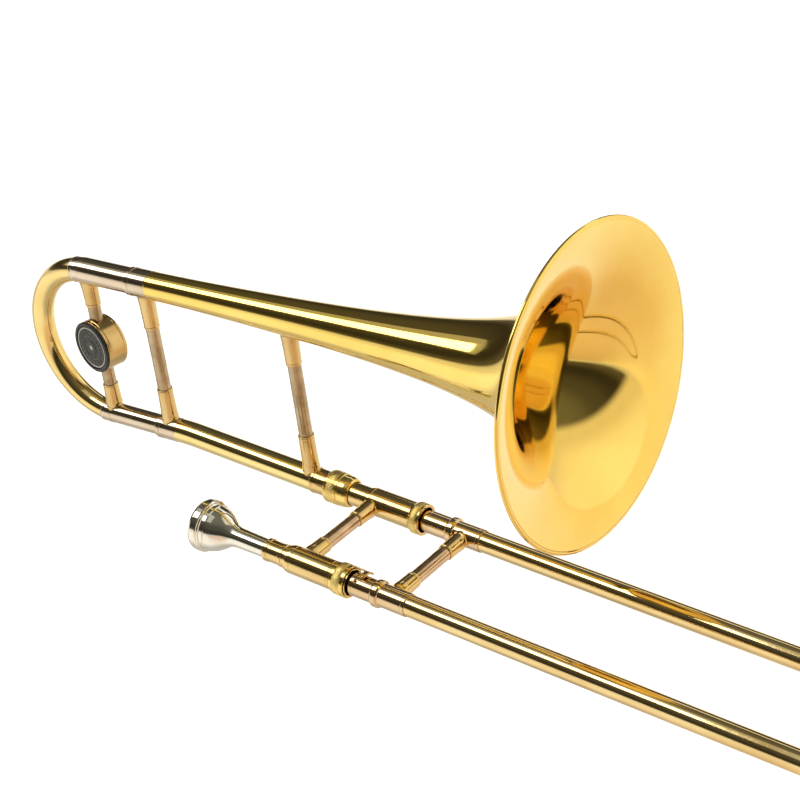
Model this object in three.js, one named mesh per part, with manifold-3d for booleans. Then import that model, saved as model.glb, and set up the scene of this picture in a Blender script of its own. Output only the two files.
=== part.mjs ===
// Tenor trombone: bell section, tuning slide with counterweight, hand slide
// (fixed inner slide and moving outer slide), mouthpiece and water key.
// Millimetres, +Z up. Origin: middle of the inner slide brace, where the left
// hand holds the instrument. +X runs along the hand slide away from the player,
// the slide lies in the horizontal plane z = 0 and the bell plane stands
// upright above the bell-side slide tube. -Y is the mouthpiece side.
import * as THREE from "three";
import { mergeVertices } from "three/addons/utils/BufferGeometryUtils.js";
import Module from "manifold-3d";

const wasm = await Module();
wasm.setup();

// ---------------------------------------------------------------- dimensions
// Working frame: axis A (bell-side slide tube) is y = z = 0, the gooseneck
// bend of the neckpipe is at x = 0. The whole assembly is then shifted so the
// hand grip is the origin.
const SLIDE_WIDTH = 80.6; // centre distance of the two slide tubes
const GRIP_X = 165.7; // inner slide brace (hand grip)
const OUTER_BRACE_X = 237.8; // outer slide brace, slide closed
const BELL_TILT = 4.757; // degrees, bell axis to slide axis
const BELL_RISE = 114.6; // bell axis above neckpipe axis, at the bend
const BELL_RIM_U = 349.7; // rim plane, measured along the bell axis
const BELL_RIM_R = 102; // 204 mm (8 inch) bell
const BELL_STEM_R = 9.9;
const BELL_STEM_U = -9.7; // rear end of the brass bell stem
const BELL_WALL = 0.7;
const BEAD_R = 1.6; // rolled wire bead of the rim
const FLARE_D = 18.9; // flare law r = R (1 + d / D) ^ -P, d from the rim
const FLARE_P = 0.785;

const BORE_R = 6.25; // hand slide bore
const INNER_TUBE_R = 6.5;
const STOCKING_R = 6.58;
const STOCKING_LENGTH = 90;
const OUTER_TUBE_BORE_R = 6.8;
const OUTER_TUBE_R = 7.1;
const OUTER_TUBE_START = 190;
const INNER_TUBE_END = 898;
const OUTER_TUBE_END = 903;
const BOW_START = 935; // where the end bow begins to curve
const BOW_R = 7.35;
const BOW_BORE_R = 6.8;

const SLEEVE_U = -28.5; // tuning slide sleeves start here
const REAR_BRACE_U = -18.3;
const FRONT_BRACE_U = 110.5;
const UPPER_LEG_R = 9.4;
const LOWER_LEG_R = 7.6;
const CROOK_U = -74.5; // centre of the tuning crook's curve
const CROOK_FERRULE_DEG = 9;
const WEIGHT_R = 19.4;
const WEIGHT_LENGTH = 18.4;
const WEIGHT_TWIST = 9.5; // degrees about its brace
const NECK_R = 8.6;
const NECK_END = 113.5;

const ROD_R = 4.8; // brace tubes
const SOCKET_R = 5.5;

const MOUTHPIECE_RIM_X = 82.5;
const MOUTHPIECE_RIM_R = 17.8;
const WATER_KEY_X = 912; // pivot
const WATER_KEY_Z = -12.3;
const GAP = 0.3;

// ------------------------------------------------------------------ helpers
const V = (x, y, z) => new THREE.Vector3(x, y, z);
const rad = (d) => (d * Math.PI) / 180;

function volume(g) {
  const p = g.attributes.position,
    i = g.index;
  let v = 0;
  const a = V(0, 0, 0),
    b = V(0, 0, 0),
    c = V(0, 0, 0);
  for (let k = 0; k < i.count; k += 3) {
    a.fromBufferAttribute(p, i.getX(k));
    b.fromBufferAttribute(p, i.getX(k + 1));
    c.fromBufferAttribute(p, i.getX(k + 2));
    v += a.dot(b.cross(c)) / 6;
  }
  return v;
}

// Positions only, shared vertices merged, no empty triangles, faces out.
function clean(geometry) {
  let g = geometry.clone();
  g.deleteAttribute("normal");
  g.deleteAttribute("uv");
  g = mergeVertices(g, 1e-4);
  const out = [];
  const idx = g.index.array;
  for (let k = 0; k < idx.length; k += 3) {
    const [a, b, c] = [idx[k], idx[k + 1], idx[k + 2]];
    if (a !== b && b !== c && a !== c) out.push(a, b, c);
  }
  g.setIndex(out);
  if (volume(g) < 0) {
    for (let k = 0; k < out.length; k += 3)
      [out[k + 1], out[k + 2]] = [out[k + 2], out[k + 1]];
    g.setIndex(out);
  }
  return g;
}

const solid = (g) => {
  const c = clean(g);
  return new wasm.Manifold(
    new wasm.Mesh({
      numProp: 3,
      vertProperties: new Float32Array(c.attributes.position.array),
      triVerts: new Uint32Array(c.index.array),
    }),
  );
};

function shape(manifold) {
  const m = manifold.getMesh();
  const g = new THREE.BufferGeometry();
  const v = new Float32Array(m.numVert * 3);
  for (let i = 0; i < m.numVert; i++)
    for (let j = 0; j < 3; j++)
      v[3 * i + j] = m.vertProperties[i * m.numProp + j];
  g.setAttribute("position", new THREE.BufferAttribute(v, 3));
  g.setIndex(new THREE.BufferAttribute(new Uint32Array(m.triVerts), 1));
  return g;
}

const minus = (a, ...cuts) =>
  shape(cuts.reduce((s, c) => s.subtract(solid(c)), solid(a)));
const plus = (a, ...more) =>
  shape(more.reduce((s, c) => s.add(solid(c)), solid(a)));

// A body of revolution about +X from a list of [x, r], closed on itself or
// starting and ending on the axis.
function turned(profile, segments = 20) {
  const pts = profile.map(([x, r]) => new THREE.Vector2(r, x));
  const first = pts[0],
    last = pts[pts.length - 1];
  if (!(first.x === 0 && last.x === 0)) pts.push(first.clone());
  const g = new THREE.LatheGeometry(pts, segments);
  g.rotateZ(-Math.PI / 2);
  return clean(g);
}

// A straight tube or rod about +X.
const pipe = (x0, x1, rOut, rIn, segments = 20) =>
  rIn
    ? turned(
        [
          [x0, rIn],
          [x1, rIn],
          [x1, rOut],
          [x0, rOut],
        ],
        segments,
      )
    : turned(
        [
          [x0, 0],
          [x0, rOut],
          [x1, rOut],
          [x1, 0],
        ],
        segments,
      );

// A hollow tube through stations {p, t, out, bore}: p the centre, t the
// direction of the tube, `side` a direction square to the plane of the bend.
// The mouth at each end is open.
function bentTube(stations, side, segments = 16) {
  const pos = [],
    idx = [],
    n = segments,
    hollow = stations[0].bore > 0;
  for (const s of stations) {
    const t = s.t.clone().normalize();
    const b = side.clone().normalize();
    const a = b.clone().cross(t).normalize();
    for (const r of hollow ? [s.out, s.bore] : [s.out])
      for (let k = 0; k < n; k++) {
        const f = (2 * Math.PI * k) / n;
        const q = s.p
          .clone()
          .addScaledVector(a, r * Math.cos(f))
          .addScaledVector(b, r * Math.sin(f));
        pos.push(q.x, q.y, q.z);
      }
  }
  const ring = hollow ? 2 * n : n;
  const at = (i, k, inner) => i * ring + (inner ? n : 0) + (k % n);
  const m = stations.length - 1;
  const quad = (a, b, c, d) => idx.push(a, b, c, a, c, d);
  for (let k = 0; k < n; k++) {
    for (let i = 0; i < m; i++) {
      quad(at(i, k, 0), at(i, k + 1, 0), at(i + 1, k + 1, 0), at(i + 1, k, 0));
      if (hollow)
        quad(at(i, k + 1, 1), at(i, k, 1), at(i + 1, k, 1), at(i + 1, k + 1, 1));
    }
    if (hollow) {
      quad(at(0, k + 1, 0), at(0, k, 0), at(0, k, 1), at(0, k + 1, 1));
      quad(at(m, k, 0), at(m, k + 1, 0), at(m, k + 1, 1), at(m, k, 1));
    } else if (k > 0 && k < n - 1) {
      idx.push(at(0, 0, 0), at(0, k + 1, 0), at(0, k, 0));
      idx.push(at(m, 0, 0), at(m, k, 0), at(m, k + 1, 0));
    }
  }
  const g = new THREE.BufferGeometry();
  g.setAttribute("position", new THREE.Float32BufferAttribute(pos, 3));
  g.setIndex(idx);
  return clean(g);
}

const moved = (g, x, y, z) => g.clone().translate(x, y, z);

// ---------------------------------------------------------------- materials
const finish = (color, roughness, metalness = 1) => () =>
  new THREE.MeshStandardMaterial({ color, roughness, metalness });
const brass = finish(0xd9ab4c, 0.12);
const gold = finish(0xcf9f3f, 0.14);
const nickel = finish(0xcbbfae, 0.14);
const silver = finish(0xd8d6cf, 0.1);
const chromed = finish(0xc9c9c4, 0.1);
const black = finish(0x18181a, 0.35, 0);
const rubber = finish(0x222222, 0.8, 0);
const cork = finish(0xb08a5c, 0.9, 0);
const felt = finish(0x2b2b2b, 0.95, 0);
const steel = finish(0x9a9a98, 0.3);

const root = new THREE.Group();
const assembly = new THREE.Group();
assembly.position.set(-GRIP_X, SLIDE_WIDTH / 2, 0);
root.add(assembly);
// The bell section's own frame: x along the bell axis, z square to it.
const bellFrame = new THREE.Group();
bellFrame.rotation.y = -rad(BELL_TILT);
assembly.add(bellFrame);
// The mouthpiece-side tube's frame.
const mouthFrame = new THREE.Group();
mouthFrame.position.set(0, -SLIDE_WIDTH, 0);
assembly.add(mouthFrame);

function add(name, geometry, material, parent = assembly, place) {
  const mesh = new THREE.Mesh(geometry, material());
  mesh.name = name;
  mesh.geometry.computeVertexNormals();
  if (place) mesh.position.copy(place);
  parent.add(mesh);
  return mesh;
}

// --------------------------------------------------------------------- bell
const flareR = (u) =>
  Math.max(
    BELL_STEM_R,
    (BELL_RIM_R - 0.9) *
      Math.pow(1 + (BELL_RIM_U - u) / FLARE_D, -FLARE_P),
  );
const BELL_AXIS = V(0, 0, BELL_RISE);
{
  const us = [
    BELL_STEM_U, 24, 60, 100, 140, 175, 205, 232, 256, 276, 294, 308, 320, 330,
    338, 344, 347.4, 348.9,
  ];
  const outer = us.map((u) => [u, flareR(u)]);
  // The bore stays wide enough for the tuning slide leg up to u = 45.
  const inner = us
    .map((u) => [u, u < 45 ? 9.62 : flareR(u) - BELL_WALL])
    .reverse();
  // The lip turns out into the bead, so the sheet ends level with it.
  inner[0] = [us[us.length - 1] + 0.15, flareR(348.9) - BELL_WALL];
  add("bell", turned([...outer, ...inner], 32), brass, bellFrame, BELL_AXIS);

  // Rolled bead round the rim, with a flat front edge.
  const c = BELL_RIM_R - BEAD_R,
    u0 = BELL_RIM_U - 0.9;
  const beadProfile = [
    [u0 + 0.9, c - 0.9],
    [u0 + 0.9, c + 0.7],
    [u0 + 0.3, c + BEAD_R],
    [u0 - 1.2, c + BEAD_R],
    [u0 - 2.2, c + 0.6],
    [u0 - 2.0, c - 0.4],
    [u0 - 0.6, c - 1.2],
  ];
  const bead = minus(
    turned(beadProfile, 32),
    // keeps clear of the sheet it is rolled round
    turned(
      [
        [338, flareR(338) + GAP],
        [344, flareR(344) + GAP],
        [347.4, flareR(347.4) + GAP],
        [349.2, flareR(348.9) + GAP + 0.25],
        [349.35, 40],
        [338, 30],
      ],
      32,
    ),
  );
  add("bell_rim_bead", bead, brass, bellFrame, BELL_AXIS);
}

// Sleeves that the tuning slide legs enter, soldered to stem and neckpipe.
add(
  "upper_tuning_sleeve",
  turned([
    [SLEEVE_U, 9.62],
    [BELL_STEM_U - GAP, 9.62],
    [BELL_STEM_U - GAP, 10.05],
    [SLEEVE_U + 2.4, 10.05],
    [SLEEVE_U + 2, 10.3],
    [SLEEVE_U, 10.3],
  ]),
  nickel,
  bellFrame,
  BELL_AXIS,
);
add(
  "lower_tuning_sleeve",
  turned([
    [SLEEVE_U + 0.5, 8.15],
    [-10, 8.15],
    [-10, 8.75],
    [SLEEVE_U + 2.9, 8.75],
    [SLEEVE_U + 2.5, 8.95],
    [SLEEVE_U + 0.5, 8.95],
  ]),
  nickel,
  bellFrame,
);

// Neckpipe: leaves the tuning sleeve along the bell direction, bends by the
// tilt and runs on along the slide axis into the slide receiver.
{
  const tilt = rad(BELL_TILT),
    bendR = 200,
    tangent = bendR * Math.tan(tilt / 2),
    dir = V(Math.cos(tilt), 0, Math.sin(tilt)),
    centre = V(tangent, 0, -bendR);
  // Coming up the neckpipe from the sleeve the tube falls away below the
  // slide axis, so it meets x = 0 from behind and below.
  const st = [{ p: dir.clone().multiplyScalar(-9.7), t: dir }];
  for (let i = 0; i <= 4; i++) {
    const a = tilt * (1 - i / 4);
    st.push({
      p: V(
        centre.x - bendR * Math.sin(a),
        0,
        centre.z + bendR * Math.cos(a),
      ),
      t: V(Math.cos(a), 0, Math.sin(a)),
    });
  }
  st.push({ p: V(NECK_END, 0, 0), t: V(1, 0, 0) });
  for (const s of st) Object.assign(s, { out: NECK_R, bore: 8.1 });
  add("neckpipe", bentTube(st, V(0, 1, 0), 20), brass);
}

// Slide receiver: socket for the slide's tenon, threaded outside for the nut.
{
  const profile = [
    [NECK_END + GAP, 7.45],
    [136.5, 7.9],
    [136.5, 9.0],
    [135.7, 9.6],
    [126.6, 9.6],
    [126.2, 8.95],
    [NECK_END + 1.2, 8.95],
    [NECK_END + GAP, 8.75],
  ];
  add("slide_receiver", turned(profile, 24), brass);
}

// ------------------------------------------------------------------- braces
// A brace socket about +X, standing on a tube that runs along local Z through
// the local origin: foot cut to the tube, collar bored for the rod.
function socket(tubeR, length, foot = 7.2, tilt = 0, segments = 16) {
  const top = tubeR + length;
  const body = turned(
    [
      [tubeR * 0.55, 0],
      [tubeR * 0.55, foot],
      [tubeR + 0.9, foot - 0.5],
      [tubeR + 3.2, SOCKET_R + 0.25],
      [top - 0.6, SOCKET_R],
      [top, SOCKET_R - 0.3],
      [top, ROD_R + 0.22],
      [top - 7, ROD_R + 0.22],
      [top - 7, 0],
    ],
    segments,
  );
  const tube = pipe(-30, 30, tubeR + GAP, 0, 24);
  tube.rotateY(Math.PI / 2 + tilt);
  return minus(body, tube);
}
const brace = (length) => pipe(0, length, ROD_R, ROD_R - 1, 16);

// Bell braces: from the neckpipe side up to the bell stem, in the bell frame.
function bellBrace(name, u, lowR, highR, lowLen, highLen, lowZ, lowTilt = 0) {
  const low = socket(lowR, lowLen, 7.2, lowTilt);
  low.rotateY(-Math.PI / 2);
  add(name + "_lower_socket", low, gold, bellFrame, V(u, 0, lowZ));
  const high = socket(highR, highLen);
  high.rotateY(Math.PI / 2);
  add(name + "_upper_socket", high, gold, bellFrame, V(u, 0, BELL_RISE));
  const z0 = lowZ + lowR + lowLen - 6.7,
    z1 = BELL_RISE - highR - highLen + 6.7;
  const rod = brace(z1 - z0);
  rod.rotateY(-Math.PI / 2);
  add(name + "_tube", rod, nickel, bellFrame, V(u, 0, z0));
}
bellBrace("rear_brace", REAR_BRACE_U, 8.75, 10.05, 24, 24, 0);
// The neckpipe runs level here, so it lies below the line of the lower leg.
bellBrace(
  "front_brace",
  FRONT_BRACE_U,
  8.95,
  13.25,
  26,
  22,
  -FRONT_BRACE_U * Math.tan(rad(BELL_TILT)),
  rad(BELL_TILT),
);

// ------------------------------------------------------------- tuning slide
const R_CROOK = BELL_RISE / 2;
function crookStations(deg0, deg1, steps, outAt, wall) {
  const st = [];
  for (let i = 0; i <= steps; i++) {
    const d = deg0 + ((deg1 - deg0) * i) / steps,
      a = rad(d);
    st.push({
      p: V(
        CROOK_U - R_CROOK * Math.sin(a),
        0,
        R_CROOK + R_CROOK * Math.cos(a),
      ),
      t: V(-Math.cos(a), 0, -Math.sin(a)),
      out: outAt(d),
      bore: outAt(d) - wall,
    });
  }
  return st;
}
const crookOut = (d) => 8.75 - (8.75 - 7.35) * (d / 180);
const gapDeg = (GAP / R_CROOK) * (180 / Math.PI);
add(
  "tuning_crook",
  bentTube(
    crookStations(
      CROOK_FERRULE_DEG + gapDeg,
      180 - CROOK_FERRULE_DEG - gapDeg,
      14,
      crookOut,
      0.6,
    ),
    V(0, 1, 0),
    18,
  ),
  brass,
  bellFrame,
);
add(
  "upper_crook_ferrule",
  bentTube(
    crookStations(0, CROOK_FERRULE_DEG, 2, (d) => 9.35 - 0.03 * d, 0.8),
    V(0, 1, 0),
    18,
  ),
  nickel,
  bellFrame,
);
add(
  "lower_crook_ferrule",
  bentTube(
    crookStations(180 - CROOK_FERRULE_DEG, 180, 2, () => 7.75, 0.75),
    V(0, 1, 0),
    18,
  ),
  nickel,
  bellFrame,
);
add(
  "upper_tuning_leg",
  pipe(CROOK_U + GAP, 12, UPPER_LEG_R, UPPER_LEG_R - 0.5),
  nickel,
  bellFrame,
  BELL_AXIS,
);
add(
  "lower_tuning_leg",
  pipe(CROOK_U + GAP, -4, LOWER_LEG_R, LOWER_LEG_R - 0.5),
  nickel,
  bellFrame,
);
// Counterweight on the tuning slide's own brace.
const WEIGHT_BRACE_U = CROOK_U + 0.5;
{
  // The feet stand on the leg on one side and on the ferrule on the other, so
  // they are cut to the wider of the two.
  const clearOf = (deg0, deg1, out) =>
    bentTube(
      crookStations(deg0, deg1, 6, () => out + GAP, 0).map((s) => ({
        ...s,
        bore: 0,
      })),
      V(0, 1, 0),
      24,
    );
  const low = socket(LOWER_LEG_R + 0.15, 17, 6.4);
  low.rotateY(-Math.PI / 2);
  low.translate(WEIGHT_BRACE_U, 0, 0);
  add(
    "weight_brace_lower_socket",
    minus(low, clearOf(160, 180, 7.85)),
    gold,
    bellFrame,
  );
  const high = socket(UPPER_LEG_R + 0.05, 17.5, 6.8);
  high.rotateY(Math.PI / 2);
  high.translate(WEIGHT_BRACE_U, 0, BELL_RISE);
  add(
    "weight_brace_upper_socket",
    minus(high, clearOf(0, 20, 9.45)),
    gold,
    bellFrame,
  );
  const z0 = LOWER_LEG_R + 0.15 + 17 - 6.7,
    z1 = BELL_RISE - UPPER_LEG_R - 0.05 - 17.5 + 6.7;
  const rod = brace(z1 - z0);
  rod.rotateY(-Math.PI / 2);
  add("weight_brace_tube", rod, nickel, bellFrame, V(WEIGHT_BRACE_U, 0, z0));

  // Drum about its own X, turned so its badge faces -Y, bored for the brace.
  const half = WEIGHT_LENGTH / 2;
  const drum = turned(
    [
      [-half, 0],
      [-half, WEIGHT_R - 1.2],
      [-half + 1, WEIGHT_R],
      [half - 1.6, WEIGHT_R],
      [half - 1.6, WEIGHT_R - 2.4],
      [half - 0.9, WEIGHT_R - 3.2],
      [half - 0.9, 0],
    ],
    32,
  );
  const bore = pipe(-40, 40, ROD_R + 0.25, 0, 16);
  bore.rotateY(Math.PI / 2);
  const turn = new THREE.Group();
  turn.position.set(WEIGHT_BRACE_U, 0, R_CROOK);
  turn.rotation.z = -Math.PI / 2 - rad(WEIGHT_TWIST);
  bellFrame.add(turn);
  add("counterweight_drum", minus(drum, bore), brass, turn);
  // Bezel ring, proud of the drum's front, and the plain black badge in it.
  add(
    "counterweight_bezel",
    turned(
      [
        [half - 1.3, WEIGHT_R - 0.1],
        [half - 1.3, WEIGHT_R - 2.1],
        [half - 0.3, WEIGHT_R - 3.0],
        [half + 0.1, WEIGHT_R - 3.0],
        [half + 0.4, WEIGHT_R - 2.4],
        [half + 0.4, WEIGHT_R - 0.8],
        [half - 0.2, WEIGHT_R - 0.1],
      ],
      32,
    ),
    black,
    turn,
  );
  add(
    "counterweight_badge",
    turned(
      [
        [half - 0.6, 0],
        [half - 0.6, WEIGHT_R - 3.9],
        [half - 0.4, WEIGHT_R - 3.3],
        [half - 0.1, WEIGHT_R - 3.3],
        [half + 0.15, WEIGHT_R - 4.2],
        [half + 0.5, 0],
      ],
      32,
    ),
    black,
    turn,
  );
}

// ---------------------------------------------------- hand slide, inner part
function innerTube(start) {
  return turned([
    [start, BORE_R],
    [INNER_TUBE_END, BORE_R],
    [INNER_TUBE_END, STOCKING_R - 0.12],
    [INNER_TUBE_END - 1, STOCKING_R],
    [INNER_TUBE_END - STOCKING_LENGTH, STOCKING_R],
    [INNER_TUBE_END - STOCKING_LENGTH - 3, INNER_TUBE_R],
    [start, INNER_TUBE_R],
  ]);
}
add("bell_side_inner_tube", innerTube(142), chromed);
add("mouthpiece_side_inner_tube", innerTube(156.6), chromed, mouthFrame);

// Tenon: tapered plug for the bell's receiver, the collar the nut draws on,
// and the sleeve that takes the inner tube.
add(
  "slide_tenon",
  turned(
    [
      [116, BORE_R],
      [141.6, BORE_R],
      [141.6, 6.8],
      [160.4, 6.8],
      [160.4, 8.05],
      [141, 8.05],
      [141, 9.2],
      [138, 9.2],
      [138, 7.45],
      [116, 6.95],
    ],
    24,
  ),
  brass,
);
// Captive lock nut: runs on the receiver's thread, shoulder behind the collar.
add(
  "bell_lock_nut",
  turned(
    [
      [126.9, 10.05],
      [137.6, 10.05],
      [137.6, 9.75],
      [141.5, 9.75],
      [141.5, 8.45],
      [146.4, 8.45],
      [146.4, 8.9],
      [145.4, 10.0],
      [142.4, 10.9],
      [137.4, 11.2],
      [137.2, 11.5],
      [128.2, 11.5],
      [126.9, 10.9],
    ],
    24,
  ),
  gold,
);
add(
  "bell_side_cork_barrel",
  turned(
    [
      [160.8, 6.85],
      [163.4, 6.85],
      [163.4, 8.65],
      [205.4, 8.65],
      [205.8, 9.0],
      [205.8, 10.6],
      [205.2, 10.9],
      [201.5, 10.9],
      [198.6, 10.4],
      [196.6, 9.4],
      [163.2, 9.4],
      [161.6, 9.1],
      [160.8, 8.3],
    ],
    20,
  ),
  brass,
);
const bumper = [
  [163.9, 6.85],
  [186, 6.85],
  [186, 8.3],
  [163.9, 8.3],
];
add("bell_side_cork", turned(bumper), cork);
add("mouthpiece_side_cork", turned(bumper), cork, mouthFrame);
add(
  "mouthpiece_side_cork_barrel",
  turned(
    [
      [156.3, 6.85],
      [163.4, 6.85],
      [163.4, 8.45],
      [207.2, 8.45],
      [207.6, 8.8],
      [207.6, 9.7],
      [206.9, 9.7],
      [206.9, 9.05],
      [194.3, 9.05],
      [194.3, 9.5],
      [159.0, 9.5],
      [157.0, 9.1],
      [156.3, 8.2],
    ],
    20,
  ),
  brass,
  mouthFrame,
);
add(
  "mouthpiece_receiver",
  turned(
    [
      [138.2, 6.85],
      [155.9, 6.1],
      [155.9, 7.1],
      [153.6, 7.2],
      [153.2, 7.8],
      [151.2, 7.8],
      [150.8, 7.4],
      [141.4, 7.4],
      [141, 7.8],
      [138.6, 7.8],
      [138.2, 7.5],
    ],
    20,
  ),
  gold,
  mouthFrame,
);
add(
  "leadpipe",
  turned([
    [164.2, 5.55],
    [196, 5.2],
    [380, 5.75],
    [380, 5.98],
    [164.2, 5.98],
  ]),
  brass,
  mouthFrame,
);

function slideBrace(name, x, rA, rB, len, foot) {
  // Local X of the brace runs along -Y from axis A to axis B.
  const a = socket(rA, len, foot);
  a.rotateZ(-Math.PI / 2);
  // The tube of the brace's local frame is Z, which must end up along X.
  a.rotateY(Math.PI / 2);
  add(name + "_bell_side_socket", a, gold, assembly, V(x, 0, 0));
  const b = socket(rB, len, foot);
  b.rotateZ(Math.PI / 2);
  b.rotateY(Math.PI / 2);
  add(name + "_mouthpiece_side_socket", b, gold, mouthFrame, V(x, 0, 0));
  const y0 = rA + len - 6.7,
    y1 = SLIDE_WIDTH - rB - len + 6.7;
  const rod = brace(y1 - y0);
  rod.rotateZ(-Math.PI / 2);
  add(name + "_tube", rod, nickel, assembly, V(x, -y0, 0));
}
slideBrace("inner_brace", GRIP_X, 9.4, 9.5, 15, 7.2);

// Slide lock: a ring on the mouthpiece-side barrel with an L-shaped catch.
// Angles run from +Z towards +Y, as seen along +X.
{
  const sector = (r0, r1, a0, a1, x0, x1) => {
    const s = new THREE.Shape();
    const n = 8;
    for (let i = 0; i <= n; i++) {
      const a = rad(a0 + ((a1 - a0) * i) / n);
      const p = [r1 * Math.sin(a), r1 * Math.cos(a)];
      if (i === 0) s.moveTo(...p);
      else s.lineTo(...p);
    }
    for (let i = n; i >= 0; i--) {
      const a = rad(a0 + ((a1 - a0) * i) / n);
      s.lineTo(r0 * Math.sin(a), r0 * Math.cos(a));
    }
    const g = new THREE.ExtrudeGeometry(s, {
      depth: x1 - x0,
      bevelEnabled: false,
    });
    // shape x -> +Y, shape y -> +Z, depth -> +X
    g.applyMatrix4(
      new THREE.Matrix4().makeBasis(V(0, 1, 0), V(0, 0, 1), V(1, 0, 0)),
    );
    g.translate(x0, 0, 0);
    return g;
  };
  const ring = turned(
    [
      [194.7, 9.45],
      [206.5, 9.45],
      [206.5, 10.4],
      [206.1, 10.8],
      [203.5, 10.8],
      [200, 10.5],
      [196, 9.95],
      [194.7, 9.85],
    ],
    24,
  );
  add(
    "slide_lock_ring",
    plus(
      ring,
      sector(9.95, 10.75, 22, 52, 204, 218.6),
      sector(9.2, 10.75, -14, 52, 215.2, 218.6),
    ),
    brass,
    mouthFrame,
  );
}

// ---------------------------------------------------- hand slide, outer part
function outerTube(name, parent) {
  add(
    name,
    pipe(OUTER_TUBE_START, OUTER_TUBE_END, OUTER_TUBE_R, OUTER_TUBE_BORE_R),
    brass,
    parent,
  );
}
outerTube("bell_side_outer_tube", assembly);
outerTube("mouthpiece_side_outer_tube", mouthFrame);
const ferrule = () =>
  turned(
    [
      [209, 7.4],
      [252, 7.4],
      [252, 7.7],
      [231.4, 7.75],
      [231.2, 8.6],
      [230.2, 9.1],
      [227.2, 9.1],
      [226.2, 8.6],
      [226, 7.75],
      [209, 7.75],
    ],
    20,
  );
add("bell_side_outer_ferrule", ferrule(), nickel);
{
  // The catch's stud stands on this ferrule, clear of the ring's travel.
  const stud = pipe(7.5, 9.8, 1.25, 0, 12);
  stud.rotateY(-Math.PI / 2);
  stud.translate(212.2, 0, 0);
  stud.rotateX(rad(34));
  add("mouthpiece_side_outer_ferrule", plus(ferrule(), stud), nickel, mouthFrame);
}
slideBrace("outer_brace", OUTER_BRACE_X, 7.75, 7.75, 16, 6.2);

// End bow, its two ferrules and the bumper.
const R_BOW = SLIDE_WIDTH / 2;
{
  const st = [];
  const push = (p, t) => st.push({ p, t, out: BOW_R, bore: BOW_BORE_R });
  push(V(OUTER_TUBE_END + GAP, 0, 0), V(1, 0, 0));
  push(V(BOW_START - 6, 0, 0), V(1, 0, 0));
  for (let i = 0; i <= 12; i++) {
    const a = (Math.PI * i) / 12;
    push(
      V(BOW_START + R_BOW * Math.sin(a), -R_BOW + R_BOW * Math.cos(a), 0),
      V(Math.cos(a), -Math.sin(a), 0),
    );
  }
  push(V(BOW_START - 6, -SLIDE_WIDTH, 0), V(-1, 0, 0));
  push(V(OUTER_TUBE_END + GAP, -SLIDE_WIDTH, 0), V(-1, 0, 0));
  // Tone hole under the water key.
  const hole = pipe(5.5, 9, 2.1, 0, 12);
  hole.rotateY(Math.PI / 2);
  hole.translate(WATER_KEY_X + 12, 0, 0);
  add("end_bow", minus(bentTube(st, V(0, 0, 1), 16), hole), brass);

  const ring = () =>
    turned([
      [893, 7.65],
      [914, 7.65],
      [914, 8.1],
      [913.2, 8.3],
      [893.8, 8.3],
      [893, 8.1],
    ]);
  const bellSide = ring();
  add("bell_side_bow_ferrule", bellSide, nickel);
  add("mouthpiece_side_bow_ferrule", ring(), nickel, mouthFrame);

  // Bumper: a cup standing on the bow's outer wall, with a rubber foot.
  const apex = BOW_START + R_BOW;
  const guard = crookLikeSolid();
  const cup = turned([
    [apex - 3, 0],
    [apex - 3, 6.2],
    [apex + 9, 5.8],
    [apex + 16, 5.8],
    [apex + 16, 4.9],
    [apex + 11, 4.9],
    [apex + 11, 0],
  ], 20);
  add("bumper_cup", minus(cup, guard), gold, assembly, V(0, -R_BOW, 0));
  add(
    "bumper_tip",
    turned(
      [
        [apex + 11.3, 0],
        [apex + 11.3, 4.6],
        [apex + 17, 4.6],
        [apex + 20, 4.0],
        [apex + 21, 3.0],
        [apex + 21, 0],
      ],
      20,
    ),
    rubber,
    assembly,
    V(0, -R_BOW, 0),
  );
}
// A solid of the end bow near its apex, a gap larger than the bow, in the
// frame of the bow's centre line.
function crookLikeSolid() {
  const st = [];
  for (let i = 0; i <= 8; i++) {
    const a = rad(60 + (60 * i) / 8);
    st.push({
      p: V(BOW_START + R_BOW * Math.sin(a), R_BOW * Math.cos(a), 0),
      t: V(Math.cos(a), -Math.sin(a), 0),
      out: BOW_R + GAP,
      bore: 0,
    });
  }
  return bentTube(st, V(0, 0, 1), 20);
}

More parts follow.
